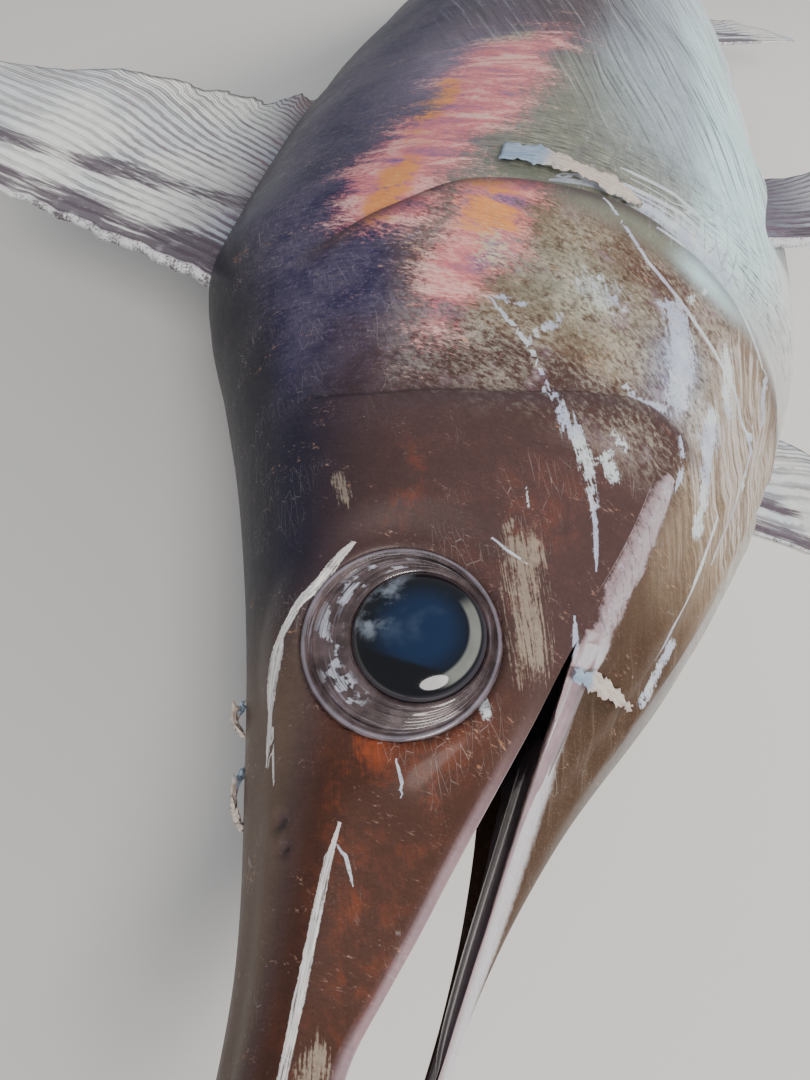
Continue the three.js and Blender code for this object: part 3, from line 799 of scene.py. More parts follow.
def dark_amount(zones):
    """Dark skin on the gill cover's rear rim with painted shade in the gap under it, and painted shade along
    the cheek's edge and in the nostrils.
    """
    y, turn = zones.y, zones.turn
    rear = hump(y - cover_rear_edge(turn), -2, 7) * smooth(turn, 36, 50) * (1 - 0.35 * smooth(turn, 92, 112))
    front = 0.7 * hump(y - cover_front_edge(turn), -3, 5) * smooth(turn, 58, 66)
    dark = strongest(rear, front) * (1 - smooth(turn, 122, 136))
    for station, at_angle, radius in NOSTRILS:
        distance = np.hypot(y - station, 0.9 * (turn - at_angle))
        dark = strongest(dark, 1.2 * hump(distance, 0, radius * 1.1) * zones.left)
    return dark


def paint_body(place):
    """Values painted on the body's skin, which its material reads.

    tint is the soft colour, and its fourth number shows the folds of the throat. place is metres along
    the body and round it, and the side. amounts are rainbow, muscle lines, mottling and rust. wear
    is pale marks, lilac patches, dark edges that are partly painted shade, and the dashes of the flank.
    pattern is orange, lime and violet.
    """
    zones = Zones(place)
    y, turn = zones.y, zones.turn
    tint = tint_head(tint_trunk(zones), zones)
    rainbow, orange, lime, violet = rainbow_amounts(zones)
    mottle = zones.cover * smooth(y, 450, 436) * (1 - 0.6 * smooth(turn, 124, 134))
    dashes = smooth(y, 456, 480) * (1 - zones.muscle)
    folds = zones.throat * (0.35 + 0.65 * smooth(y, 250, 330)) * (1 - 0.6 * smooth(turn, 150, 166))
    wear = [pale_amount(zones), lilac_amount(zones), dark_amount(zones), dashes]
    return {
        "tint": np.concatenate([tint, folds[..., None]], -1),
        "place": np.stack([y * MM, zones.arc * MM, zones.side], -1),
        "amounts": np.stack([rainbow, zones.muscle, mottle, rust_amount(zones)], -1),
        "wear": np.stack(wear, -1),
        "pattern": np.stack([orange, lime, violet], -1),
    }


def paint_marks(points):
    """Where the marks of the head lie.

    strip, scrape and band are the nearest mark: how far across it in half widths, metres along it, and
    whether it is near. patch is how deep a point lies in a broad scrape and in a brushed patch.
    """
    flat = points.reshape(-1, 3)
    shape = points.shape[:2] + (3,)
    values = {}
    lines = {"strip": WHITE_STRIPS, "scrape": FINE_SCRAPES, "band": [JAW_RIDGE, lower_band()]}
    for name, marks in lines.items():
        across, along, near = measure_marks(flat, marks)
        values[name] = np.stack([across, along * MM, near], -1).reshape(shape)
    scraped = measure_patches(flat, BROAD_SCRAPES)
    brushed = measure_patches(flat, BRUSHED_PATCHES)
    values["patch"] = np.stack([scraped, brushed, np.zeros(len(flat))], -1).reshape(shape)
    return values


def unmarked(shape):
    """What paint_marks gives where the skin has no marks."""
    plain = np.zeros(shape + (3,))
    values = {name: plain + (FAR_ACROSS, 0, 0) for name in ("strip", "scrape", "band")}
    values["patch"] = plain + FAR_OUTSIDE
    return values


def body_grid(surface, nominal, angle, underside, shrink):
    """Add one sheet of the body's outside, and give back its points."""
    points, place = skin_sheet(nominal, angle, underside, shrink)
    values = paint_body(place)
    values.update(paint_marks(outside(place[..., 0], angle, underside)))
    surface.add_grid(points, SKIN_KIND, values)
    return points


def lining_values(points, depth):
    """Painted values of the mouth's lining, with painted shade deeper inside."""
    shape = points.shape[:2]
    ground = np.broadcast_to(np.array(BILL_BROWN), shape + (3,))
    tint = blend(ground, LIP_MAUVE, smooth(points[..., 1], -40, 60))
    # Painted shade, growing with depth into the mouth
    tint = blend(tint, MOUTH_SHADE, smooth(depth, 0.25, 0.75))
    values = {
        "tint": np.concatenate([tint, np.zeros(shape + (1,))], -1),
        "place": np.stack([points[..., 1] * MM, points[..., 2] * MM, np.ones(shape)], -1),
        "amounts": np.zeros(shape + (4,)),
        "wear": np.zeros(shape + (4,)),
        "pattern": np.zeros(shape + (3,)),
    }
    values.update(unmarked(shape))
    return values


def head_underside_or_belly(y):
    """The upper sheet's lower outline: the underside of bill and snout, and then the line of the belly."""
    return np.where(y < 60, head_underside(y), belly_line(y))


def mouth_floor(y):
    """Where the floor of the mouth lies between the lower lip and the throat."""
    return lower_lip(y) + 0.4 * (belly_line(y) - lower_lip(y))


def pocket_share(y):
    """How far into the closed pocket behind the mouth a station lies, from 0 to 1."""
    return np.clip((y - MOUTH_CORNER) / (POCKET_END - MOUTH_CORNER), 0, 1)


def pocket_border(stations, corner):
    """One side of the pocket, from the corner of the mouth to the pocket's end on the middle plane."""
    share = pocket_share(stations)
    points = np.zeros((len(stations), 3))
    points[:, 0] = corner[0] + POCKET_DROP * share
    points[:, 1] = stations
    points[:, 2] = MID_PLANE + (corner[2] - MID_PLANE) * np.sqrt(np.clip(1 - share ** 2, 0, 1))
    return points


def roof_depth(y, corner):
    """Height of the mouth's roof over a station, closing to the pocket's end."""
    share = pocket_share(y)
    pocket = roof_line(y) * (1 - share) + (corner + POCKET_DROP * share) * share
    return np.where(y > MOUTH_CORNER, pocket, roof_line(y))


def floor_depth(y, corner):
    """Depth of the mouth's floor at a station, closing to the pocket's end."""
    share = pocket_share(y)
    pocket = mouth_floor(np.full_like(y, MOUTH_CORNER)) * (1 - share) + (corner + POCKET_DROP * share) * share
    return np.where(y > MOUTH_CORNER, pocket, mouth_floor(y))


def lining_grid(surface, left, right, depth_of, corner, fullness):
    """Add the roof or the floor of the mouth between two borders."""
    share = np.sin(np.linspace(-0.5, 0.5, LINING_COLUMNS) * np.pi)
    along = (share + 1) / 2
    points = right[:, None] * (1 - along[None, :, None]) + left[:, None] * along[None, :, None]
    swell = (1 - np.abs(share[None, :]) ** fullness) ** (1 / fullness)
    lip = 0.5 * (left[:, None, 0] + right[:, None, 0])
    points[..., 0] += (depth_of(points[..., 1], corner) - lip) * swell
    # How deep into the mouth a point lies, for the painted shade: from the lip inwards, and from the jaw's
    # tip back
    depth = np.clip(swell, 0, 1) * smooth(points[..., 1], -60, 60)
    surface.add_grid(points, LINING_KIND, lining_values(points, depth))


# Columns of skin on the left and the right of each sheet, and of the lining, and how square its roof and
# its floor are in section
UPPER_LEFT_COLUMNS, UPPER_RIGHT_COLUMNS = 58, 30
LOWER_LEFT_COLUMNS, LOWER_RIGHT_COLUMNS = 30, 19
LINING_COLUMNS = 27
ROOF_FULLNESS = 3.0
FLOOR_FULLNESS = 2.4


def add_upper_sheet(surface, stations):
    """Bill, head and back, down to the upper lip and to the seam behind it; gives points and border."""
    border = lip_angle(stations, upper_lip, head_underside)
    corner = border[stations == MOUTH_CORNER]
    behind = stations > MOUTH_CORNER
    border[behind] = corner + (SEAM_ANGLE - corner) * smooth(stations[behind], MOUTH_CORNER, POCKET_END)
    shares = np.concatenate([-even_shares(UPPER_RIGHT_COLUMNS)[:0:-1], even_shares(UPPER_LEFT_COLUMNS)])
    to_tip = np.clip((BILL_TIP + BILL_ROUNDING - stations) / BILL_ROUNDING, 0, 1)
    tip = np.sqrt(1 - to_tip ** 2)[:, None]
    points = body_grid(surface, stations[:, None], border[:, None] * shares[None, :],
                       head_underside_or_belly, (widest_line(stations)[:, None], tip, tip))
    return points, border


def add_lower_sheet(surface, stations, seam):
    """Lower jaw, throat and belly, from the lower lip and the seam behind it; gives points."""
    border = np.where(stations > MOUTH_CORNER, seam, lip_angle(stations, lower_lip, belly_line))[:, None]
    left_half = border + (180 - border) * (1 - even_shares(LOWER_LEFT_COLUMNS)[None, ::-1])
    right_half = 180 + (180 - border) * even_shares(LOWER_RIGHT_COLUMNS)[None, 1:]
    to_tip = 1 - np.clip(stations / JAW_ROUNDING, 0, 1)
    tip = np.sqrt(1 - to_tip ** 2)[:, None]
    centre = 0.5 * (lower_lip(stations) + belly_line(stations))[:, None]
    return body_grid(surface, stations[:, None], np.concatenate([left_half, right_half], 1), belly_line,
                     (centre, tip, tip * jaw_narrowing(stations)[:, None]))


def add_mouth(surface, stations, upper, lower):
    """Roof of the mouth with the underside of the bill, floor of the lower jaw, and the pocket behind."""
    front = stations <= MOUTH_CORNER
    jaw_front = front[stations >= JAW_TIP]
    corner_left, corner_right = upper[stations == MOUTH_CORNER][0][[-1, 0]]
    pocket = stations[(stations > MOUTH_CORNER) & (stations <= POCKET_END)]
    pocket_left = pocket_border(pocket, corner_left)
    pocket_right = pocket_border(pocket, corner_right)
    pocket_right[:, 2] = 2 * MID_PLANE - pocket_left[:, 2]
    for left, right, depth_of, fullness in (
            (upper[front, -1], upper[front, 0], roof_depth, ROOF_FULLNESS),
            (lower[jaw_front, 0], lower[jaw_front, -1], floor_depth, FLOOR_FULLNESS)):
        lining_grid(surface, np.concatenate([left, pocket_left]), np.concatenate([right, pocket_right]),
                    depth_of, corner_left[0], fullness)


def add_body(surface):
    """The head, trunk and tail stock, with the lined mouth open between the jaws."""
    stations = ring_stations()
    on_jaw = stations >= JAW_TIP
    upper, border = add_upper_sheet(surface, stations)
    lower = add_lower_sheet(surface, stations[on_jaw], border[on_jaw])
    add_mouth(surface, stations, upper, lower)
    # Close the end of the tail stock inside the tail fin
    end = np.concatenate([upper[-1], lower[-1][1:-1]])
    middle = end.mean(0)
    cap = np.stack([np.concatenate([end, end[:1]]), np.broadcast_to(middle, (len(end) + 1, 3))])
    surface.add_grid(cap, FIN_KIND, lining_values(cap, np.zeros(cap.shape[:2])))


def through(points, count):
    """Even parameter steps along a smooth centripetal curve through points."""
    points = np.array(points, float)
    ends = [2 * points[0] - points[1], *points, 2 * points[-1] - points[-2]]
    spots = []
    for share in np.linspace(0, 1, count + 1):
        place = min(share * (len(points) - 1), len(points) - 1 - 1e-9)
        part = int(place)
        t = place - part
        corners = ends[part:part + 4]
        steps = [second - first for first, second in zip(corners, corners[1:])]
        gaps = [max(np.linalg.norm(step), 1e-6) ** 0.5 for step in steps]
        slopes = [step / gap for step, gap in zip(steps, gaps)]
        overall = [(steps[i] + steps[i + 1]) / (gaps[i] + gaps[i + 1]) for i in (0, 1)]
        leave = (slopes[0] - overall[0] + slopes[1]) * gaps[1]
        arrive = (slopes[1] - overall[1] + slopes[2]) * gaps[1]
        spots.append((2 * t ** 3 - 3 * t * t + 1) * corners[1] + (t ** 3 - 2 * t * t + t) * leave
                     + (3 * t * t - 2 * t ** 3) * corners[2] + (t ** 3 - t * t) * arrive)
    return np.array(spots)


# Fins: leading and trailing edges, thickness at the root, rays, steps of the grid along and across the
# fin, depth of the ragged edge, curl, the body's angle at the root, and how pale the fin is
FIN_EDGE = 1.6
FINS = {
    "first_dorsal": {
        "lead": [(-185, 438, 153), (-217, 447, 153), (-296, 455, 153), (-369, 464, 150), (-500, 505, 142),
                 (-604, 590, 132)],
        "trail": [(-190, 752, 146), (-235, 728, 148), (-267, 690, 150), (-328, 662, 152), (-448, 602, 150),
                  (-602, 604, 133)],
        "root": 22, "rays": 38, "steps": (76, 76), "ragged": 0.035, "curl": 5, "root_turn": 12, "pale": 1.0,
    },
    "second_dorsal": {
        "lead": [(-30, 1662, 60), (-62, 1686, 60), (-92, 1718, 58)],
        "trail": [(-28, 1722, 57), (-52, 1734, 57), (-88, 1748, 56)],
        "root": 8, "rays": 8, "steps": (20, 16), "ragged": 0.05, "curl": 0, "root_turn": 10, "pale": 0.15,
    },
    "first_anal": {
        "lead": [(108, 1290, 98), (160, 1345, 95), (236, 1440, 88), (320, 1560, 74)],
        "trail": [(80, 1470, 80), (136, 1462, 82), (200, 1500, 82), (312, 1578, 73)],
        "root": 14, "rays": 18, "steps": (34, 34), "ragged": 0.04, "curl": 2, "root_turn": 150, "pale": 0.8,
    },
    "second_anal": {
        "lead": [(44, 1650, 60), (82, 1674, 60), (114, 1708, 58)],
        "trail": [(40, 1712, 57), (70, 1724, 57), (110, 1740, 56)],
        "root": 8, "rays": 8, "steps": (20, 16), "ragged": 0.05, "curl": 0, "root_turn": 150, "pale": 0.4,
    },
    "left_pectoral": {
        "lead": [(104, 546, 258), (160, 566, 272), (262, 640, 290), (338, 750, 304), (372, 868, 310)],
        "trail": [(96, 640, 248), (142, 648, 266), (196, 706, 278), (268, 792, 294), (358, 880, 309)],
        "root": 16, "rays": 16, "steps": (48, 34), "ragged": 0.03, "curl": 0, "root_turn": 110, "pale": 0.5,
    },
    "right_pectoral": {
        "lead": [(112, 544, 44), (170, 552, 20), (240, 562, 3), (350, 566, 1), (440, 596, 1), (512, 672, 1)],
        "trail": [(110, 640, 40), (160, 662, 18), (220, 690, 3), (320, 706, 1), (410, 690, 1), (508, 688, 1)],
        "root": 16, "rays": 16, "steps": (48, 34), "ragged": 0.03, "curl": 0, "root_turn": 130, "pale": 0.6,
    },
    "upper_lobe": {
        "lead": [(8.8, 1800, 50), (-34, 1815, 49), (-130, 1865, 38), (-280, 1965, 12), (-396, 2087, 0)],
        "trail": [(8.8, 1925, 42), (-50, 1928, 40), (-150, 1958, 28), (-280, 2030, 8), (-390, 2095, 0)],
        "root": 18, "rays": 16, "steps": (54, 26), "ragged": 0.03, "curl": 0, "root_turn": 40, "pale": 0.25,
    },
    "lower_lobe": {
        "lead": [(9.2, 1800, 50), (52, 1815, 49), (148, 1865, 38), (298, 1965, 12), (414, 2087, 0)],
        "trail": [(9.2, 1925, 42), (68, 1928, 40), (168, 1958, 28), (298, 2030, 8), (408, 2095, 0)],
        "root": 18, "rays": 16, "steps": (54, 26), "ragged": 0.03, "curl": 0, "root_turn": 40, "pale": 0.25,
    },
}


def fin_middle(fin, span, chord):
    """The middle of a fin between its edges, ragged between the rays and slightly curled."""
    spans, _ = fin["steps"]
    lead = through(fin["lead"], spans)[:, None]
    trail = through(fin["trail"], spans)[:, None]
    at_ray = span * fin["rays"]
    beat = np.sin(at_ray * 1.9) + 0.5 * np.sin(at_ray * 5.3 + 1) + 0.5 * np.sin(at_ray * 0.7 + 2)
    notch = fin["ragged"] * (0.5 + 0.35 * beat) * smooth(chord, 0.8, 1) * smooth(span, 0.02, 0.1)
    crinkle = np.sin(span * 61) + 0.7 * np.sin(span * 137 + 1) + 0.5 * np.sin(span * 23 + 2)
    crinkle = 0.006 * crinkle * smooth(chord, 0.06, 0)
    reach = np.clip(chord - notch + crinkle * smooth(span, 0.1, 0.3), -0.02, 1)[..., None]
    middle = lead * (1 - reach) + trail * reach
    middle[..., 2] += fin["curl"] * np.sin(9 * span + 2) * chord ** 2 * span
    middle[..., 2] += fin["curl"] * 0.5 * np.sin(31 * span) * chord ** 6
    return middle


def fin_thickness(fin, span, chord, ray):
    """Half the thickness of a fin's blade, and the same with the flare at its root and its rays."""
    half = 0.5 * (FIN_EDGE + (fin["root"] - FIN_EDGE) * (1 - span) ** 1.5
                  * np.sin(np.pi * np.sqrt(0.02 + 0.96 * chord)))
    flare = 0.35 * fin["root"] * np.exp(-span * 26) * np.sin(np.pi * np.clip(chord, 0.02, 0.98)) ** 0.5
    ridges = 0.10 * np.cos(ray * fin["rays"] * 2 * np.pi + 1.2 * span) * smooth(span, 0, 0.1)
    ridges = ridges * smooth(chord, 1, 0.93) * smooth(chord, 0, 0.05) * np.clip(1.2 - span, 0.3, 1)
    return half, half + flare + ridges


def fin_sheets(fin):
    """Both faces of a fin, and its own coordinates: the span, the chord and the ray."""
    spans, chords = fin["steps"]
    span = np.linspace(0, 1, spans + 1)[:, None]
    chord = np.linspace(0, 1, chords + 1)[None, :] ** 0.9
    span, chord = np.broadcast_arrays(span, chord)
    ray = chord * (1 - 0.86 * span)
    middle = fin_middle(fin, span, chord)
    blade, raised = fin_thickness(fin, span, chord, ray)
    normal = unit(np.cross(np.gradient(middle, axis=0), np.gradient(middle, axis=1)))
    normal = np.where(normal[..., 2:] < 0, -normal, normal)
    sheets = []
    for sign in (1, -1):
        lifted = middle.copy()
        lifted[..., 2] = np.maximum(middle[..., 2], blade)
        lifted = lifted + normal * (sign * raised)[..., None]
        lifted[..., 2] = np.maximum(lifted[..., 2], FIN_EDGE if sign > 0 else 0)
        sheets.append(lifted)
    return sheets, span, chord, ray


def paint_fin(fin, span, chord, ray):
    """Soft colours of a fin, from the body's colour at the root to a dark ragged edge.

    The first of the amounts shows the dark bars, and pattern is the ray, the span and the chord.
    """
    y = np.full(span.shape, 700.0)
    turn = np.full(span.shape, float(fin["root_turn"]))
    values = paint_body(np.stack([y, turn * 2, turn, np.ones_like(y)], -1))
    values.update(unmarked(span.shape))
    grown = smooth(span, 0.10, 0.30)
    tint = blend(values["tint"][..., :3], FIN_ROOT, smooth(span, 0.01, 0.08) * 0.8)
    tint = blend(tint, FIN_SILVER, grown * (0.6 + 0.4 * smooth(span, 0.2, 0.4)) * fin["pale"])
    tint = blend(tint, FIN_EDGE_DARK, 0.9 * smooth(chord, 0.975, 0.995) * grown)
    bars = strongest(hump(chord, 0.33 - 0.1 * span, 0.06),
                     smooth(chord, 0.19 - 0.07 * span, 0.10 - 0.04 * span))
    values["amounts"][..., 0] = bars * smooth(span, 0.05, 0.2) * (0.9 - 0.4 * smooth(span, 0.6, 1))
    values["tint"] = np.concatenate([tint, np.ones(span.shape + (1,))], -1)
    values["pattern"] = np.stack([ray * fin["rays"], span, chord], -1)
    return values


def add_fin(surface, fin):
    """One fin as two faces joined by a thin edge all round."""
    (top, bottom), span, chord, ray = fin_sheets(fin)
    values = paint_fin(fin, span, chord, ray)
    surface.add_grid(top, FIN_KIND, values)
    surface.add_grid(bottom, FIN_KIND, values, flip=True)
    edges = [(slice(None), 0), (slice(None), -1), (0, slice(None)), (-1, slice(None))]
    for edge in edges:
        rim = np.stack([top[edge], bottom[edge]])
        rim_values = {name: np.stack([value[edge], value[edge]]) for name, value in values.items()}
        surface.add_grid(rim, FIN_KIND, rim_values)


class Signal:
    """An output of a material's node, with arithmetic that adds the maths nodes it needs."""

    def __init__(self, paint, socket):
        self.paint = paint
        self.socket = socket

    def maths(self, operation, first, second=0.0):
        return self.paint.make("ShaderNodeMath", {"operation": operation}, {0: first, 1: second})

    def __add__(self, other):
        return self.maths("ADD", self, other)

    def __radd__(self, other):
        return self.maths("ADD", other, self)

    def __sub__(self, other):
        return self.maths("SUBTRACT", self, other)

    def __rsub__(self, other):
        return self.maths("SUBTRACT", other, self)

    def __mul__(self, other):
        return self.maths("MULTIPLY", self, other)

    def __rmul__(self, other):
        return self.maths("MULTIPLY", other, self)

    def __abs__(self):
        return self.maths("ABSOLUTE", self)

    def sine(self):
        return self.maths("SINE", self)

    def most(self, other):
        """The larger of two signals."""
        return self.maths("MAXIMUM", self, other)

    def above(self, low, high):
        """0 below low, 1 above high, soft between."""
        inputs = {"Value": self, "From Min": low, "From Max": high, "To Min": 0.0, "To Max": 1.0}
        return self.paint.make("ShaderNodeMapRange", {"interpolation_type": "SMOOTHSTEP"}, inputs)

    def under(self, low, high):
        """1 below low, 0 above high, soft between."""
        inputs = {"Value": self, "From Min": low, "From Max": high, "To Min": 1.0, "To Max": 0.0}
        return self.paint.make("ShaderNodeMapRange", {"interpolation_type": "SMOOTHSTEP"}, inputs)


class Paint:
    """A material while it is mixed, with the base colour that it has so far."""

    def __init__(self, name):
        self.material = bpy.data.materials.new(name)
        self.material.use_nodes = True
        self.tree = self.material.node_tree
        self.tree.nodes.clear()
        self.colour = None

    def make(self, kind, settings=None, inputs=None, output=0):
        """Add a node: its settings first, then its inputs as values or links."""
        node = self.tree.nodes.new(kind)
        for name, setting in (settings or {}).items():
            if name == "stops":
                self.set_stops(node.color_ramp, setting)
            else:
                setattr(node, name, setting)
        for name, value in (inputs or {}).items():
            if isinstance(value, Signal):
                self.tree.links.new(value.socket, node.inputs[name])
            else:
                node.inputs[name].default_value = value
        return Signal(self, node.outputs[output]) if node.outputs else None

    def set_stops(self, ramp, stops):
        while len(ramp.elements) < len(stops):
            ramp.elements.new(0.5)
        for element, (place, colour) in zip(ramp.elements, stops):
            element.position = place
            element.color = (*colour, 1)

    def painted(self, name, output="Color"):
        """Values painted on the mesh's points."""
        return self.make("ShaderNodeAttribute", {"attribute_name": name}, output=output)

    def parts(self, vector):
        """The three numbers of a vector."""
        node = self.make("ShaderNodeSeparateXYZ", inputs={0: vector})
        outputs = node.socket.node.outputs
        return [Signal(self, outputs[number]) for number in range(3)]

    def vector(self, x, y, z):
        return self.make("ShaderNodeCombineXYZ", inputs={0: x, 1: y, 2: z})

    def stretched(self, vector, sizes):
        """A vector with each direction scaled by its own amount."""
        return self.make("ShaderNodeVectorMath", {"operation": "MULTIPLY"}, {0: vector, 1: sizes})

    def noise(self, at, scale, detail=3.0, rough=0.55, twist=0.0):
        inputs = {"Vector": at, "Scale": scale, "Detail": detail, "Roughness": rough, "Distortion": twist}
        return self.make("ShaderNodeTexNoise", inputs=inputs)

    def streaks(self, at, scales, detail=3.0, rough=0.55, twist=0.0):
        """Noise with a scale of its own in each direction."""
        return self.noise(self.stretched(at, scales), 1.0, detail, rough, twist)

    def cracks(self, at, low, high):
        """Thin lines between cells: 1 nearer to a border than low, 0 farther than high."""
        settings = {"feature": "DISTANCE_TO_EDGE"}
        to_border = self.make("ShaderNodeTexVoronoi", settings, {"Vector": at, "Scale": 1.0})
        return to_border.under(low, high)

    def mix(self, amount, first, second, kind="MIX"):
        """Mix two colours."""
        colours = [(*c, 1) if isinstance(c, tuple) else c for c in (first, second)]
        settings = {"data_type": "RGBA", "blend_type": kind}
        return self.make("ShaderNodeMix", settings, {0: amount, 6: colours[0], 7: colours[1]}, output=2)

    def lay(self, amount, colour):
        """Lay a colour over the base colour by an amount from 0 to 1."""
        self.colour = self.mix(amount, self.colour, colour)

    def shade(self, amount):
        """Multiply the base colour by an amount."""
        self.colour = self.mix(1.0, self.colour, amount, "MULTIPLY")

    def ramp(self, value, stops):
        return self.make("ShaderNodeValToRGB", {"stops": stops}, {0: value})

    def bump(self, height, strength, distance):
        inputs = {"Height": height, "Strength": strength, "Distance": distance}
        return self.make("ShaderNodeBump", inputs=inputs)

    def finish(self, inputs):
        """Put the shader and the output on the material, with the base colour where there is one."""
        if self.colour is not None:
            inputs = {"Base Color": self.colour, **inputs}
        shader = self.make("ShaderNodeBsdfPrincipled", inputs=inputs)
        self.make("ShaderNodeOutputMaterial", inputs={"Surface": shader})
        return self.material


def laid_mark(paint, name, frayed, edge=0.25):
    """How much of a long mark shows, frayed at its sides, and the places across it and along it."""
    across, along, near = paint.parts(paint.painted(name, "Vector"))
    spread = abs(across) + frayed
    return spread.under(1 - edge, 1 + edge) * near.above(0.9, 0.97), across, along


class SkinGround:
    """The painted values and the noises that the markings of wet skin share."""

    def __init__(self, paint):
        self.spot = paint.make("ShaderNodeTexCoord", output="Object")
        self.place = paint.painted("place", "Vector")
        self.along, self.round_body, _ = paint.parts(self.place)
        self.rainbow, self.muscle, self.mottle = paint.parts(paint.painted("amounts"))
        self.rust = paint.painted("amounts", "Alpha")
        self.pale, self.lilac, self.dark = paint.parts(paint.painted("wear"))
        self.dashes = paint.painted("wear", "Alpha")
        self.folds = paint.painted("tint", "Alpha")
        self.orange, self.lime, self.violet = paint.parts(paint.painted("pattern", "Vector"))
        self.scraped, self.rubbed, _ = paint.parts(paint.painted("patch", "Vector"))
        # Round clouds from coarse to fine
        self.coarse = paint.noise(self.spot, 28, 4, 0.6)
        self.medium = paint.noise(self.spot, 120, 5, 0.65, 0.4)
        self.fine = paint.noise(self.spot, 620, 3, 0.6)
        self.speckle = paint.noise(self.spot, 1300, 2, 0.6)
        # Streaks along the body, and hatching round it
        self.streaks = paint.streaks(self.place, (90, 420, 1), 4, 0.65, 0.6)
        self.brushed = paint.streaks(self.place, (45, 800, 1), 4, 0.7)
        self.hatched = paint.streaks(self.place, (620, 75, 1), 4, 0.7, 0.3)
        self.weave = paint.streaks(self.place, (420, 260, 1), 5, 0.75, 0.3)
        self.ragged = (self.medium - 0.5) * 1.3 + (self.fine - 0.5) * 0.9
        self.icy = paint.mix(self.coarse.above(0.42, 0.6), LILAC_WHITE, ICE_WHITE)


def lay_cloudy_ground(paint, skin):
    """Cloudy ground with fine streaks along the head."""
    cloud = 0.66 + 0.34 * skin.coarse + 0.22 * skin.medium
    paint.shade(cloud * (0.80 + 0.4 * skin.fine) * (0.92 + 0.16 * skin.brushed))
    crossed = paint.streaks(skin.place, (900, 110, 1), 3, 0.6)
    paint.shade(0.86 + 0.28 * crossed)
    paint.lay(skin.speckle.above(0.62, 0.72) * skin.coarse.above(0.4, 0.6) * 0.25, SPECK_TAN)


def lay_flank_dashes(paint, skin):
    """Short dark and pale dashes across the flank, and crinkled membranes behind the gill cover."""
    paint.lay(skin.dashes * skin.hatched.above(0.48, 0.66) * 0.75, DASH_DARK)
    paint.lay(skin.dashes * skin.hatched.under(0.30, 0.46) * 0.5, DASH_PALE)
    net = paint.stretched(skin.place, (34, 95, 1))
    sway = paint.make("ShaderNodeTexNoise", {}, {"Vector": net, "Scale": 2.0}, output=1)
    crinkle = paint.cracks(paint.mix(0.3, net, sway, "ADD"), 0.015, 0.08)
    paint.lay(skin.dashes * skin.lilac * crinkle * 0.9, CRINKLE_DARK)


def lay_cover_mottling(paint, skin):
    """Brown, olive and cream mottling of the gill cover."""
    flecks = (skin.weave * 0.7 + skin.coarse * 0.45).above(0.50, 0.74)
    paint.lay(skin.mottle * flecks * 0.6, COVER_CREAM)
    drops = (skin.weave * 0.6 + skin.medium * 0.5).under(0.38, 0.60)
    paint.lay(skin.mottle * drops * 0.8, COVER_DROP)
    crumbs = (skin.weave * 0.5 + skin.fine * 0.6).under(0.40, 0.54)
    paint.lay(skin.mottle * crumbs * 0.5, COVER_CRUMB)
    blush = paint.noise(skin.spot, 44, 3, 0.6).above(0.56, 0.72)
    paint.lay(skin.mottle * blush * 0.35, COVER_BLUSH)


def lay_nape_clouds(paint, skin):
    """Violet and slate clouds of the nape, brushed round the body."""
    dusk = (skin.coarse * 0.5 + skin.hatched * 0.35 + skin.medium * 0.25).above(0.44, 0.66)
    paint.lay(skin.violet * dusk * 0.6, NAPE_CLOUD)
    crust = (skin.weave * 0.6 + skin.fine * 0.5).above(0.56, 0.68)
    paint.lay(skin.violet * crust * 0.5, NAPE_CRUST)
    deep = (skin.hatched * 0.7 + skin.medium * 0.3).under(0.36, 0.50)
    paint.lay(skin.violet * deep * 0.5, NAPE_DEEP)


def lay_muscle_lines(paint, skin):
    """Fine lines of muscle down the flank; gives the dark ones."""
    slant = (skin.round_body + skin.along * 0.4) * 300
    wavy = paint.noise(paint.vector(slant, skin.along * 9, 0.0), 1.0, 5, 0.7)
    lines = wavy.above(0.50, 0.64)
    paint.lay(skin.muscle * lines * 0.75, MUSCLE_LINE)
    paint.lay(skin.muscle * wavy.under(0.30, 0.46) * 0.5, MUSCLE_GLINT)
    return lines


def lay_throat_folds(paint, skin):
    """Pleats, pale streaks of tissue and golden flecks under the throat."""
    pleats = paint.streaks(skin.place, (9, 260, 1), 5, 0.7, 0.3)
    paint.lay(skin.folds * (pleats * 0.8 + skin.coarse * 0.3).above(0.56, 0.76) * 0.5, PLEAT_PALE)
    paint.lay(skin.folds * pleats.under(0.40, 0.50) * 0.45, PLEAT_DARK)
    tissue = (pleats * 0.6 + skin.streaks * 0.4 + skin.pale * 0.1).above(0.53, 0.62)
    paint.lay(skin.folds * (tissue * skin.along.above(0.27, 0.34)) * 0.7, TISSUE_PALE)
    paint.lay(skin.folds * skin.speckle.above(0.56, 0.70) * 0.5, GOLD_FLECK)


def lay_blotches_and_wear(paint, skin):
    """Rust blotches, worn pale brush marks and cold lilac patches."""
    blotch = (skin.coarse * 0.5 + skin.brushed * 0.12 + skin.medium * 0.45).above(0.48, 0.66)
    paint.lay(skin.rust * blotch * 0.85, RUST)
    worn = (skin.pale * 0.66 + skin.brushed * 0.9 + (skin.fine - 0.5) * 0.3).above(0.84, 1.06)
    rubbed = skin.rubbed + (skin.brushed - 0.5) * 4.0 + (skin.streaks - 0.5) * 1.6 + (skin.fine - 0.5) * 1.2
    worn = worn.most(rubbed.above(0.15, 0.8))
    paint.lay(worn * (0.3 + 0.5 * skin.hatched + 0.3 * skin.fine), WORN_TAN)
    cold = skin.lilac * 0.5 + skin.streaks * 0.55 + skin.medium * 0.45 + skin.weave * 0.4
    paint.lay(cold.above(0.95, 1.22) * 0.85, skin.icy)


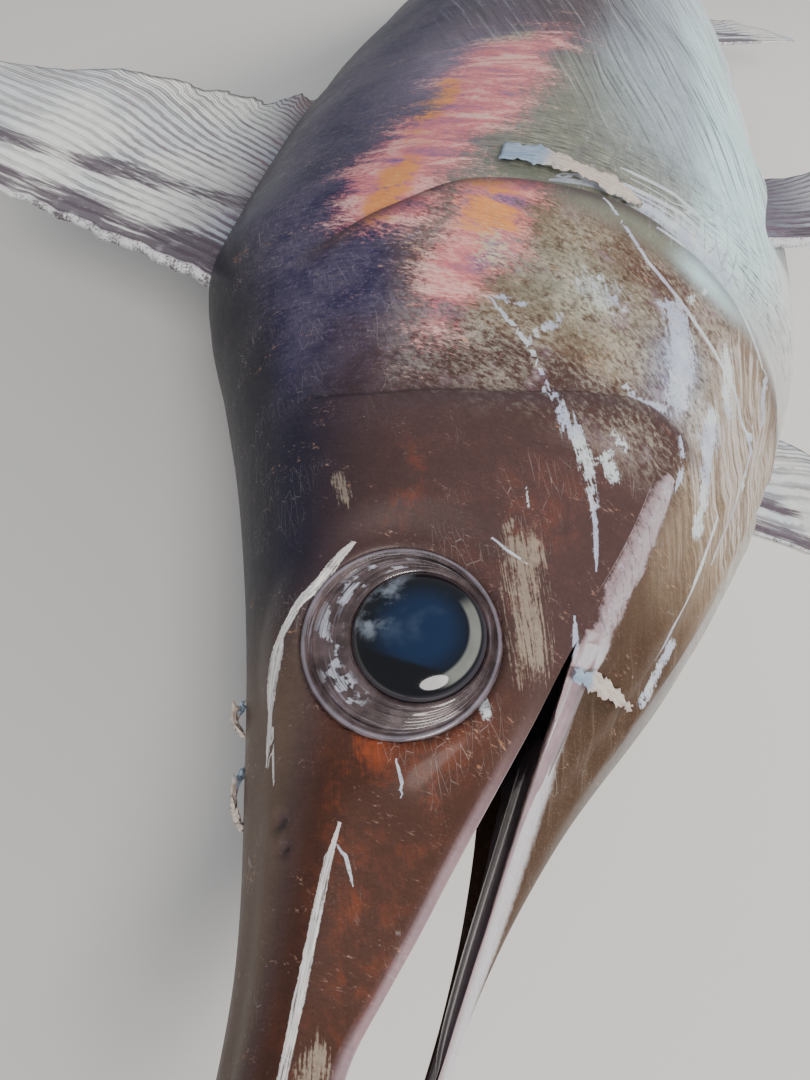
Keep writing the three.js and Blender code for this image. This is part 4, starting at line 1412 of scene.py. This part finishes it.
def lay_rainbow_sheen(paint, skin):
    """Rainbow sheen in brushed flames of pink, orange, yellow and lime."""
    flame = paint.streaks(skin.place, (85, 26, 1), 4, 0.6, 0.6)
    grit = paint.streaks(skin.place, (760, 260, 1), 4, 0.75, 0.4)
    sheen = paint.ramp(flame + (grit - 0.5) * 0.5, SHEEN_STOPS)
    hot = (skin.orange + (flame - 0.5) * 2.2 + (grit - 0.5) * 1.2).above(0.34, 0.62)
    sheen = paint.mix(hot * 0.9, sheen, SHEEN_ORANGE)
    sheen = paint.mix((skin.orange + (grit - 0.5) * 2.4).above(0.85, 1.2) * 0.7, sheen, SHEEN_YELLOW)
    sheen = paint.mix((skin.lime + (grit - 0.5) * 2.8).above(0.5, 0.9) * 0.8, sheen, SHEEN_LIME)
    sheen = paint.mix(skin.hatched.above(0.52, 0.66) * 0.3, sheen, SHEEN_DARK)
    patchy = (skin.rainbow * 1.05 + (grit - 0.5) * 1.9 + (flame - 0.5) * 1.2).above(0.24, 0.85)
    paint.lay(patchy * 0.85, sheen)


def lay_scrapes(paint, skin):
    """Fine and broad scrapes; gives how much they show."""
    line, _, _ = laid_mark(paint, "scrape", skin.ragged * 0.7)
    broad = skin.scraped + (skin.medium - 0.5) * 1.6 + (skin.streaks - 0.5) * 2.0 + (skin.fine - 0.5) * 0.9
    scrape = line.most(broad.above(0.05, 0.45))
    broken = (skin.hatched * 0.5 + skin.fine * 0.7).above(0.40, 0.60)
    paint.lay(scrape * (0.35 + 0.5 * broken), skin.icy)
    return scrape


def lay_lip_band(paint, skin):
    """Silver band of the lower lip with a painted highlight and painted glints along its middle, turning pink
    and torn on the ridge behind the mouth; gives its amount.
    """
    behind = skin.along.above(0.222, 0.236)
    band, across, _ = laid_mark(paint, "band", skin.ragged * (0.4 + 0.7 * behind), 0.3)
    # Painted glints and a painted highlight along the middle of the band
    sparkle = paint.noise(skin.spot, 1500, 2, 0.7).above(0.5, 0.75)
    shine = abs(across + 0.1).under(0.1, 0.6)
    pale = (skin.streaks * 0.5 + skin.fine * 0.5).above(0.50, 0.62)
    torn = (skin.streaks * 0.6 + skin.medium * 0.5).above(0.56, 0.64)
    colour = paint.mix(across.above(-0.8, -0.1), PINK_LIP, SILVER_LIP)
    colour = paint.mix(skin.streaks.above(0.5, 0.7) * 0.35, colour, LIP_STREAK)
    colour = paint.mix(sparkle * (0.35 + 0.5 * shine), colour, LIP_SPARKLE)
    colour = paint.mix(shine * 0.4, colour, LIP_SHINE)
    colour = paint.mix(behind * 0.7, colour, RIDGE_PINK)
    colour = paint.mix(behind * pale * 0.7, colour, RIDGE_PALE)
    colour = paint.mix(behind * torn * 0.6, colour, RIDGE_DARK)
    paint.lay(band * 0.85, colour)
    return band


def lay_white_strips(paint, skin):
    """Long white strips of bared fibres; gives how much they show."""
    strip, across, along = laid_mark(paint, "strip", skin.ragged * 0.6, 0.12)
    fibres = paint.noise(paint.vector(along * 60, across * 2.2, 0.0), 1.0, 3, 0.6)
    strip = strip * (1.0 - 0.75 * (fibres * 0.6 + skin.medium * 0.5).under(0.42, 0.54))
    paint.lay(strip, paint.mix(fibres.above(0.35, 0.7), STRIP_GREY, STRIP_CREAM))
    return strip


def lay_nicks(paint, skin):
    """Hair-thin scratches in patches all over."""
    nicks = paint.cracks(paint.stretched(skin.place, (70, 260, 1)), 0.004, 0.016)
    paint.lay(nicks * skin.coarse.above(0.52, 0.6) * 0.3, NICK_TAN)


def skin_material():
    """Wet skin of the body: dark and violet above, grey and pale below, with scrapes and strips."""
    paint = Paint("wet_skin")
    skin = SkinGround(paint)
    paint.colour = paint.painted("tint")
    lay_cloudy_ground(paint, skin)
    lay_flank_dashes(paint, skin)
    lay_cover_mottling(paint, skin)
    lay_nape_clouds(paint, skin)
    lines = lay_muscle_lines(paint, skin)
    lay_throat_folds(paint, skin)
    lay_blotches_and_wear(paint, skin)
    lay_rainbow_sheen(paint, skin)
    # Dark rim of the gill cover, with painted shade in the gap under it, along the cheek's edge and in the
    # nostrils
    paint.lay(skin.dark * 0.8, RIM_DARK)
    scrape = lay_scrapes(paint, skin)
    band = lay_lip_band(paint, skin)
    strip = lay_white_strips(paint, skin)
    lay_nicks(paint, skin)
    height = 0.5 * skin.medium + 0.25 * skin.fine + 0.5 * strip + 0.25 * scrape + 0.3 * skin.muscle * lines
    return paint.finish({
        "Roughness": 0.44 + 0.2 * skin.medium + 0.1 * strip - 0.15 * band,
        "Coat Weight": 0.10 + 0.35 * band,
        "Coat Roughness": 0.15,
        "Specular IOR Level": 0.2,
        "Normal": paint.bump(height, 0.35, 0.0016),
    })


# Waves across the fins: one for each ray, and three for each ray in the fine comb
FULL_TURN = 6.2832
FINE_COMB = 18.85


def fin_material():
    """Fin skin: silver and dark purple bands between the rays, with a dark edge."""
    paint = Paint("fin_skin")
    spot = paint.make("ShaderNodeTexCoord", output="Object")
    ray, span, chord = paint.parts(paint.painted("pattern", "Vector"))
    bars, _, _ = paint.parts(paint.painted("amounts"))
    medium = paint.noise(spot, 110, 4, 0.6)
    fine = paint.noise(spot, 700, 3, 0.6)
    wander = paint.noise(spot, 12, 3, 0.5)
    wave = (ray * FULL_TURN + (wander - 0.5) * 8.0 + (medium - 0.5) * 3.0).sine()
    comb = (ray * FINE_COMB + (wander - 0.5) * 9.0).sine()
    threads = paint.noise(paint.vector(ray * 4.0, span * 7.0, 0.0), 1.0, 4, 0.65)
    strands = paint.noise(paint.vector(chord * 60.0, span * 9.0, 0.0), 1.0, 4, 0.7)
    grown = span.above(0.05, 0.16)
    paint.colour = paint.painted("tint")
    paint.shade((0.78 + 0.5 * medium) * (0.86 + 0.36 * threads))
    paint.lay(wander.above(0.42, 0.62) * grown * 0.45, FIN_BLUE)
    # Dark lines between the rays: strong near the root, and a comb of fine ones towards the rear edge
    inner = grown * (1.0 - 0.55 * span.above(0.30, 0.85)) * wave.above(-0.3, 0.6)
    inner = inner * (threads * 0.7 + wander * 0.5).above(0.42, 0.66)
    paint.lay(inner * 0.85, FIN_PURPLE)
    near_root = span.under(0.08, 0.34) * (threads * 0.6 + medium * 0.5).above(0.46, 0.60)
    paint.lay(near_root * 0.75, FIN_PLUM)
    rusty = near_root * chord.above(0.55, 0.75) * wander.above(0.46, 0.56)
    paint.lay(rusty * 0.6, FIN_RUST)
    outer = chord.above(0.6, 0.9) * comb.above(0.1, 0.9) * grown
    paint.lay(outer * (0.35 + 0.5 * wander), FIN_COMB)
    warm = (threads * 0.6 + wander * 0.5).above(0.56, 0.70) * grown * chord.above(0.3, 0.5)
    paint.lay(warm * 0.45, FIN_WARM)
    # Dark bars along the fin, with pale flecks in them, and a broken pale rim
    shade = (bars + (threads - 0.5) * 1.4 + (wander - 0.5) * 1.6 + (strands - 0.5) * 2.0).above(0.34, 0.86)
    paint.lay(shade * 0.9, FIN_BAR)
    fleck = (strands * 0.5 + medium * 0.5).above(0.54, 0.66) * bars.above(0.3, 0.6)
    paint.lay(fleck * 0.5, FIN_FLECK)
    rim = chord.under(0.006, 0.014) * (medium * 0.5 + fine * 0.5).above(0.40, 0.55)
    paint.lay(rim * 0.9, FIN_RIM)
    height = wave * 0.12 + threads * 0.7 + fine * 0.2
    return paint.finish({
        "Roughness": 0.34 + 0.2 * medium,
        "Coat Weight": 0.2,
        "Coat Roughness": 0.1,
        "Specular IOR Level": 0.3,
        "Normal": paint.bump(height, 0.4, 0.0015),
    })


def lining_material():
    """Wet lining of the mouth."""
    paint = Paint("mouth_lining")
    spot = paint.make("ShaderNodeTexCoord", output="Object")
    medium = paint.noise(spot, 150, 4, 0.6)
    folds = paint.streaks(spot, (260, 26, 260), 3, 0.6)
    paint.colour = paint.painted("tint")
    paint.shade(0.5 + 1.0 * folds)
    paint.lay(medium.above(0.62, 0.8) * 0.5, LINING_PALE)
    return paint.finish({
        "Roughness": 0.28 + 0.2 * medium,
        "Coat Weight": 1.0,
        "Coat Roughness": 0.08,
        "Normal": paint.bump(folds * 0.7 + medium * 0.3, 0.4, 0.002),
    })


def eye_ring_material():
    """Clear dark flesh round the eye's dome, with fine rings."""
    paint = Paint("eye_ring")
    spot = paint.make("ShaderNodeTexCoord", output="Object")
    radius, turn, around = paint.parts(paint.painted("ring", "Vector"))
    cloud = paint.noise(spot, 90, 4, 0.6)
    circles = paint.noise(paint.vector(radius * 1.6, turn * 0.5, around * 0.5), 1.0, 4, 0.65)
    paint.colour = paint.mix(cloud.above(0.35, 0.7), RING_DARK, RING_BROWN)
    paint.lay(circles.above(0.54, 0.68) * 0.55, RING_CIRCLE)
    patches = paint.noise(paint.vector(radius * 0.22, turn * 1.1, around * 1.1), 1.0, 3, 0.6)
    patches = patches.above(0.51, 0.57) * radius.above(31, 33) * radius.under(36.5, 39) * turn.above(0.4, 1.4)
    paint.lay(patches * circles.above(0.35, 0.5) * 0.8, RING_PATCH)
    outer = radius.above(40.8, 41.6) * radius.under(42.0, 43.0)
    paint.lay(outer * (0.2 + 0.5 * cloud), RING_EDGE)
    return paint.finish({
        "Roughness": 0.22 + 0.2 * cloud,
        "Coat Weight": 1.0,
        "Coat Roughness": 0.05,
        "Normal": paint.bump(circles, 0.5, 0.0012),
    })


def eye_dome_material():
    """Deep blue-black dome of the eye, with painted reflections of clouds and of a bright strip, and painted
    shade along one side.
    """
    paint = Paint("eye_dome")
    radius, across, along = paint.parts(paint.painted("ring", "Vector"))
    spot = paint.make("ShaderNodeTexCoord", output="Object")
    cloud = paint.noise(spot, 45, 3, 0.55)
    deep = radius.under(10, 24)
    paint.colour = paint.mix(deep, DOME_BLACK, DOME_BLUE)
    haze = cloud.above(0.48, 0.75) * radius.under(12, 25)
    paint.lay(haze * 0.4, DOME_HAZE)
    # Painted shade across the dome's lower side
    ahead = (cloud - 0.5) * 26.0 - along * radius
    paint.lay(ahead.above(38, 46), DOME_SHADE)
    # Painted reflections: pale clouds on one side and a cream strip on the other
    clouds = paint.noise(spot, 95, 4, 0.6)
    cloud_reflection = clouds.above(0.42, 0.66) * (across * radius).above(20, 55) * ahead.under(10, 40)
    paint.lay(cloud_reflection * 0.55, DOME_CLOUD_REFLECTION)
    strip = radius.above(20.5, 22) * radius.under(25.5, 26.5) * (across * -1.0).above(1.6, 2.4)
    paint.lay(strip * (0.4 + 0.5 * clouds), DOME_STRIP_REFLECTION)
    paint.lay(radius.above(26.5, 28.5), DOME_EDGE)
    return paint.finish({
        "Roughness": 0.08,
        "Coat Weight": 0.5,
        "Coat Roughness": 0.01,
        "Specular IOR Level": 0.3,
    })


def shred_material():
    """Torn white flesh and skin."""
    paint = Paint("torn_skin")
    spot = paint.make("ShaderNodeTexCoord", output="Object")
    along, across, _ = paint.parts(paint.painted("ring", "Vector"))
    fibres = paint.noise(paint.vector(along * 4.0, across * 26.0, 0.0), 1.0, 4, 0.6)
    cloud = paint.noise(spot, 140, 3, 0.6)
    paint.colour = paint.mix(fibres.above(0.30, 0.60), SHRED_GREY, SHRED_CREAM)
    paint.lay(along.under(0.22, 0.34) * 0.85, SHRED_BLUE)
    paint.lay(along.under(0.22, 0.34) * fibres.above(0.5, 0.62), SHRED_ICE)
    paint.lay(cloud.above(0.58, 0.78) * 0.5, SHRED_PINK)
    return paint.finish({
        "Roughness": 0.42 + 0.2 * cloud,
        "Coat Weight": 0.5,
        "Coat Roughness": 0.2,
        "Normal": paint.bump(fibres, 0.5, 0.001),
    })


def turned_piece(name, outline, centre, facing, material, wobble=0.0, slide=(0.0, 0.0, 0.0)):
    """A piece turned round the eye's line from (radius, height) points, its ends on that line."""
    side_way = unit(np.cross(facing, (1.0, 0.0, 0.0)))
    other_way = np.cross(facing, side_way)
    points = []
    values = []
    faces = []
    starts = []
    for radius, height in outline:
        starts.append(len(points))
        if radius == 0:
            points.append(centre + facing * height)
            values.append((0, 0, 0))
            continue
        for side in range(EYE_SIDES):
            turn = 2 * math.pi * side / EYE_SIDES
            sway = wobble * math.sin(3 * turn + radius * 0.5)
            sway = sway * smooth(radius, 29, 36) * smooth(radius, 43, 40)
            spot = math.cos(turn) * side_way + math.sin(turn) * other_way
            moved = np.array(slide) * smooth(radius, 42, 29) * (height > 0.3)
            points.append(centre + moved + spot * radius + facing * (height + sway))
            values.append((radius, math.sin(turn) * 3, math.cos(turn) * 3))
    for ring in range(len(outline) - 1):
        a, b = starts[ring], starts[ring + 1]
        for side in range(EYE_SIDES):
            after = (side + 1) % EYE_SIDES
            if outline[ring][0] == 0:
                faces.append((a, b + side, b + after))
            elif outline[ring + 1][0] == 0:
                faces.append((a + side, b, a + after))
            else:
                faces.append((a + side, b + side, b + after, a + after))
    return new_piece(name, points, faces, [material], {"ring": values})


def ring_outline():
    """Outline of the flesh ring: fine circles rising to the groove round the dome."""
    outline = [(0, -8.5), (20, -8.5), (40, -8), (43.6, -4), (43.6, -1), (43.2, 0.6), (42.4, 1.3), (41.2, 1.5)]
    for radius in np.linspace(40, 29.9, 22):
        rise = 1.2 + 1.5 * smooth(radius, 38, 30) - 1.1 * hump(radius, 39, 1.4)
        outline.append((radius, rise + 0.22 * math.sin(radius * 3.1) + 0.14 * math.sin(radius * 7.3)))
    outline += [(29.2, 2.2), (28.9, 0.9), (27, 0.5), (0, 0.4)]
    return outline


def dome_outline():
    """Outline of the dome, from its flat underside to its top."""
    outline = [(0, 0.6), (DOME_RADIUS - 1, 0.6)]
    for share in np.linspace(0, 1, 22):
        turn = share * math.pi / 2
        radius = DOME_RADIUS * math.cos(turn)
        outline.append((0 if share == 1 else radius, 1.6 + 10.2 * math.sin(turn)))
    return outline


def add_eyes(ring_finish, dome_finish):
    """Both eyes, each a ring of flesh with a dome set off its middle."""
    for name, side in (("left", 1), ("right", -1)):
        centre, facing = eye_frame(side)
        offset = DOME_OFFSET * (1, 1, side)
        offset = offset - facing * (offset @ facing)
        ring = turned_piece("eye_ring_" + name, ring_outline(), centre, facing, ring_finish,
                            wobble=0.5, slide=offset)
        dome = turned_piece("eye_dome_" + name, dome_outline(), centre + offset, facing, dome_finish)
        for piece in (ring, dome):
            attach(piece, "root")
        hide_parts("eye_" + name)


# Torn shreds of skin: a line of (station, angle) points, with half widths and lifts off the skin along it
SHREDS = {
    "gill_shred": {
        "line": [(476, 74), (475, 81), (474, 88), (473, 95), (473, 101)],
        "widths": (9.5, 7.0, 6.0, 7.0, 1.2), "lifts": (2.5, 4.5, 4.0, 3.5, 0.5),
        "thickness": 1.6, "ragged": 1.1,
    },
    "snout_shred_rear": {
        "line": [(178, -6), (171, -4), (163, -7)],
        "widths": (2.0, 7.5, 1.5), "lifts": (1.5, 6.5, 1.0),
        "thickness": 1.6, "ragged": 1.8,
    },
    "snout_shred_front": {
        "line": [(148, -8), (139, -5), (130, -8), (122, -6)],
        "widths": (1.5, 5.6, 4.8, 1.2), "lifts": (1.0, 5.5, 4.8, 1.0),
        "thickness": 1.6, "ragged": 1.8,
    },
    "jaw_shred": {
        "line": [(211, 123), (214, 129), (216, 137), (220, 149)],
        "widths": (2.4, 4.6, 3.8, 1.0), "lifts": (2.0, 3.4, 3.0, 0.8),
        "thickness": 1.0, "ragged": 0.9,
    },
}
SHRED_STEPS = 14
SHRED_COLUMNS = 9


def shred_points(shred):
    """Points of both faces of a shred that follows the body, and (along, across, face) for each."""
    y, angle = np.array(shred["line"], float).T
    knots = range(len(y))
    steps = np.linspace(0, len(y) - 1, SHRED_STEPS * (len(y) - 1) + 1)
    stations = np.interp(steps, knots, y)
    angles = np.interp(steps, knots, angle)
    half = np.interp(steps, knots, shred["widths"])
    lift = np.interp(steps, knots, shred["lifts"])
    up = outward(stations, angles)
    centre = outside(stations, angles) + up * lift[:, None]
    aside = unit(np.cross(up, unit(np.gradient(centre, axis=0))))
    wave = np.sin(steps * 9.1) + 0.7 * np.sin(steps * 23.3 + 1) + 0.5 * np.sin(steps * 51 + 2)
    points = []
    values = []
    for face in (1, -1):
        for number, step in enumerate(steps):
            for share in np.linspace(-1, 1, SHRED_COLUMNS):
                reach = half[number] * share + shred["ragged"] * share * wave[number]
                fold = 0.9 * math.sin(share * 5 + step * 3)
                height = fold + face * shred["thickness"] * 0.5 * (1.02 - abs(share) ** 3)
                points.append(centre[number] + aside[number] * reach + up[number] * height)
                values.append((step / steps[-1], share, face))
    return points, values


def shred_faces(rows):
    """Faces of a shred: two grids, and a strip round their border that joins them."""
    columns = SHRED_COLUMNS
    faces = []
    for base in (0, rows * columns):
        for row in range(rows - 1):
            for column in range(columns - 1):
                a = base + row * columns + column
                faces.append((a, a + 1, a + columns + 1, a + columns))
    border = list(range(columns))
    border += [row * columns + columns - 1 for row in range(1, rows)]
    border += [(rows - 1) * columns + column for column in range(columns - 2, -1, -1)]
    border += [row * columns for row in range(rows - 2, 0, -1)]
    for a, b in zip(border, border[1:] + border[:1]):
        faces.append((a, b, b + rows * columns, a + rows * columns))
    return faces


def add_shreds(material):
    """The torn shreds, which replace none of the frame's nodes."""
    for name, shred in SHREDS.items():
        points, values = shred_points(shred)
        rows = len(points) // (2 * SHRED_COLUMNS)
        piece = new_piece(name, points, shred_faces(rows), [material], {"ring": values})
        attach(piece, "root")


def add_tongue(material):
    """A long flat tongue lying in the floor of the mouth."""
    half_width = profile((52, 3), (80, 9), (150, 17), (205, 24))
    points = []
    rows = np.linspace(TONGUE_TIP, TONGUE_ROOT, 60)
    sides = 28
    for y in rows:
        end = math.sqrt(max(0.02, min(1, (y - TONGUE_TIP + 1) / 12, (TONGUE_ROOT + 1 - y) / 3)))
        wide = float(half_width(y))
        floor = float(mouth_floor(y)) - 0.22 * wide
        for side in range(sides):
            turn = 2 * math.pi * side / sides
            across = wide * math.cos(turn) * end
            groove = 1.4 * hump(across, 0, 2.2) if math.sin(turn) > 0 else 0
            height = wide * 0.28 * math.sin(turn) * end - groove
            points.append((floor - height, y, MID_PLANE + across))
    faces = [tuple(range(sides))[::-1], tuple(range(len(points) - sides, len(points)))]
    for row in range(len(rows) - 1):
        for side in range(sides):
            a, b = row * sides + side, row * sides + (side + 1) % sides
            faces.append((a, b, b + sides, a + sides))
    tint = np.tile((*TONGUE_MAUVE, 1.0), (len(points), 1))
    tongue = new_piece("tongue_flesh", points, faces, [material], {"tint": tint})
    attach(tongue, "root")
    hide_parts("tongue")


def add_skin(materials):
    """The one skin of bill, head, trunk, tail stock and fins."""
    surface = Surface()
    add_body(surface)
    for fin in FINS.values():
        add_fin(surface, fin)
    skin = surface.build("skin", materials)
    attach(skin, "root")
    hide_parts("bill", "head", "lower_jaw", "gill_cover_left", "gill_cover_right", "trunk_front",
                "trunk_middle", "trunk_rear", "tail_stock", "keel_left", "keel_right", "dorsal_fin_first",
                "dorsal_fin_second", "anal_fin_first", "anal_fin_second", "pectoral_fin_left",
                "pectoral_fin_right", "caudal_fin_upper", "caudal_fin_lower")


def add_floor():
    mesh = bpy.data.meshes.new("floor")
    reach = 30
    mesh.from_pydata([(-reach, -reach, 0), (reach, -reach, 0), (reach, reach, 0), (-reach, reach, 0)], [],
                     [(0, 1, 2, 3)])
    paint = Paint("pale_floor")
    mesh.materials.append(paint.finish({"Base Color": (*FLOOR_GREY, 1), "Roughness": 0.7}))
    floor = bpy.data.objects.new("floor", mesh)
    bpy.context.collection.objects.link(floor)


def add_light(name, place, target, size, power, colour, mirrored=True):
    """A round lamp at a place, aimed at a target, which the wet skin may mirror or not."""
    light = bpy.data.lights.new(name, "AREA")
    light.shape = "DISK"
    light.size = size
    light.energy = power
    light.color = colour
    lamp = bpy.data.objects.new(name, light)
    lamp.visible_glossy = mirrored
    lamp.location = Vector(place) * MM + ORIGIN
    aim = Vector(target) * MM + ORIGIN - lamp.location
    lamp.rotation_euler = aim.to_track_quat("-Z", "Y").to_euler()
    bpy.context.collection.objects.link(lamp)


def add_lights():
    """Pale sky, a warm lamp beyond the bill and a yellower one by the tail."""
    world = bpy.data.worlds.new("studio")
    world.use_nodes = True
    background = world.node_tree.nodes["Background"]
    background.inputs["Color"].default_value = (*SKY_BLUE, 1)
    background.inputs["Strength"].default_value = 0.40
    bpy.context.scene.world = world
    add_light("key", (500, -1500, 2100), (0, 500, 150), size=1.3, power=66, colour=WARM_WHITE)
    add_light("tail_side", (1900, 1700, 1700), (50, 500, 150), size=0.8, power=62, colour=LAMP_YELLOW,
              mirrored=False)


def add_camera():
    """The photo's view."""
    camera = bpy.data.cameras.new("camera")
    camera.sensor_fit = "AUTO"
    camera.sensor_width = CAMERA_SENSOR
    camera.lens = CAMERA_LENS
    camera.clip_start = 0.01
    viewer = bpy.data.objects.new("camera", camera)
    turn = Matrix((CAMERA_RIGHT, CAMERA_UP, CAMERA_BACK)).transposed().to_4x4()
    viewer.matrix_world = Matrix.Translation(Vector(CAMERA_PLACE) * MM + ORIGIN) @ turn
    bpy.context.collection.objects.link(viewer)
    bpy.context.scene.camera = viewer


add_camera()
add_lights()
add_floor()
lining = lining_material()
add_skin([skin_material(), lining, fin_material()])
add_tongue(lining)
add_eyes(eye_ring_material(), eye_dome_material())
add_shreds(shred_material())
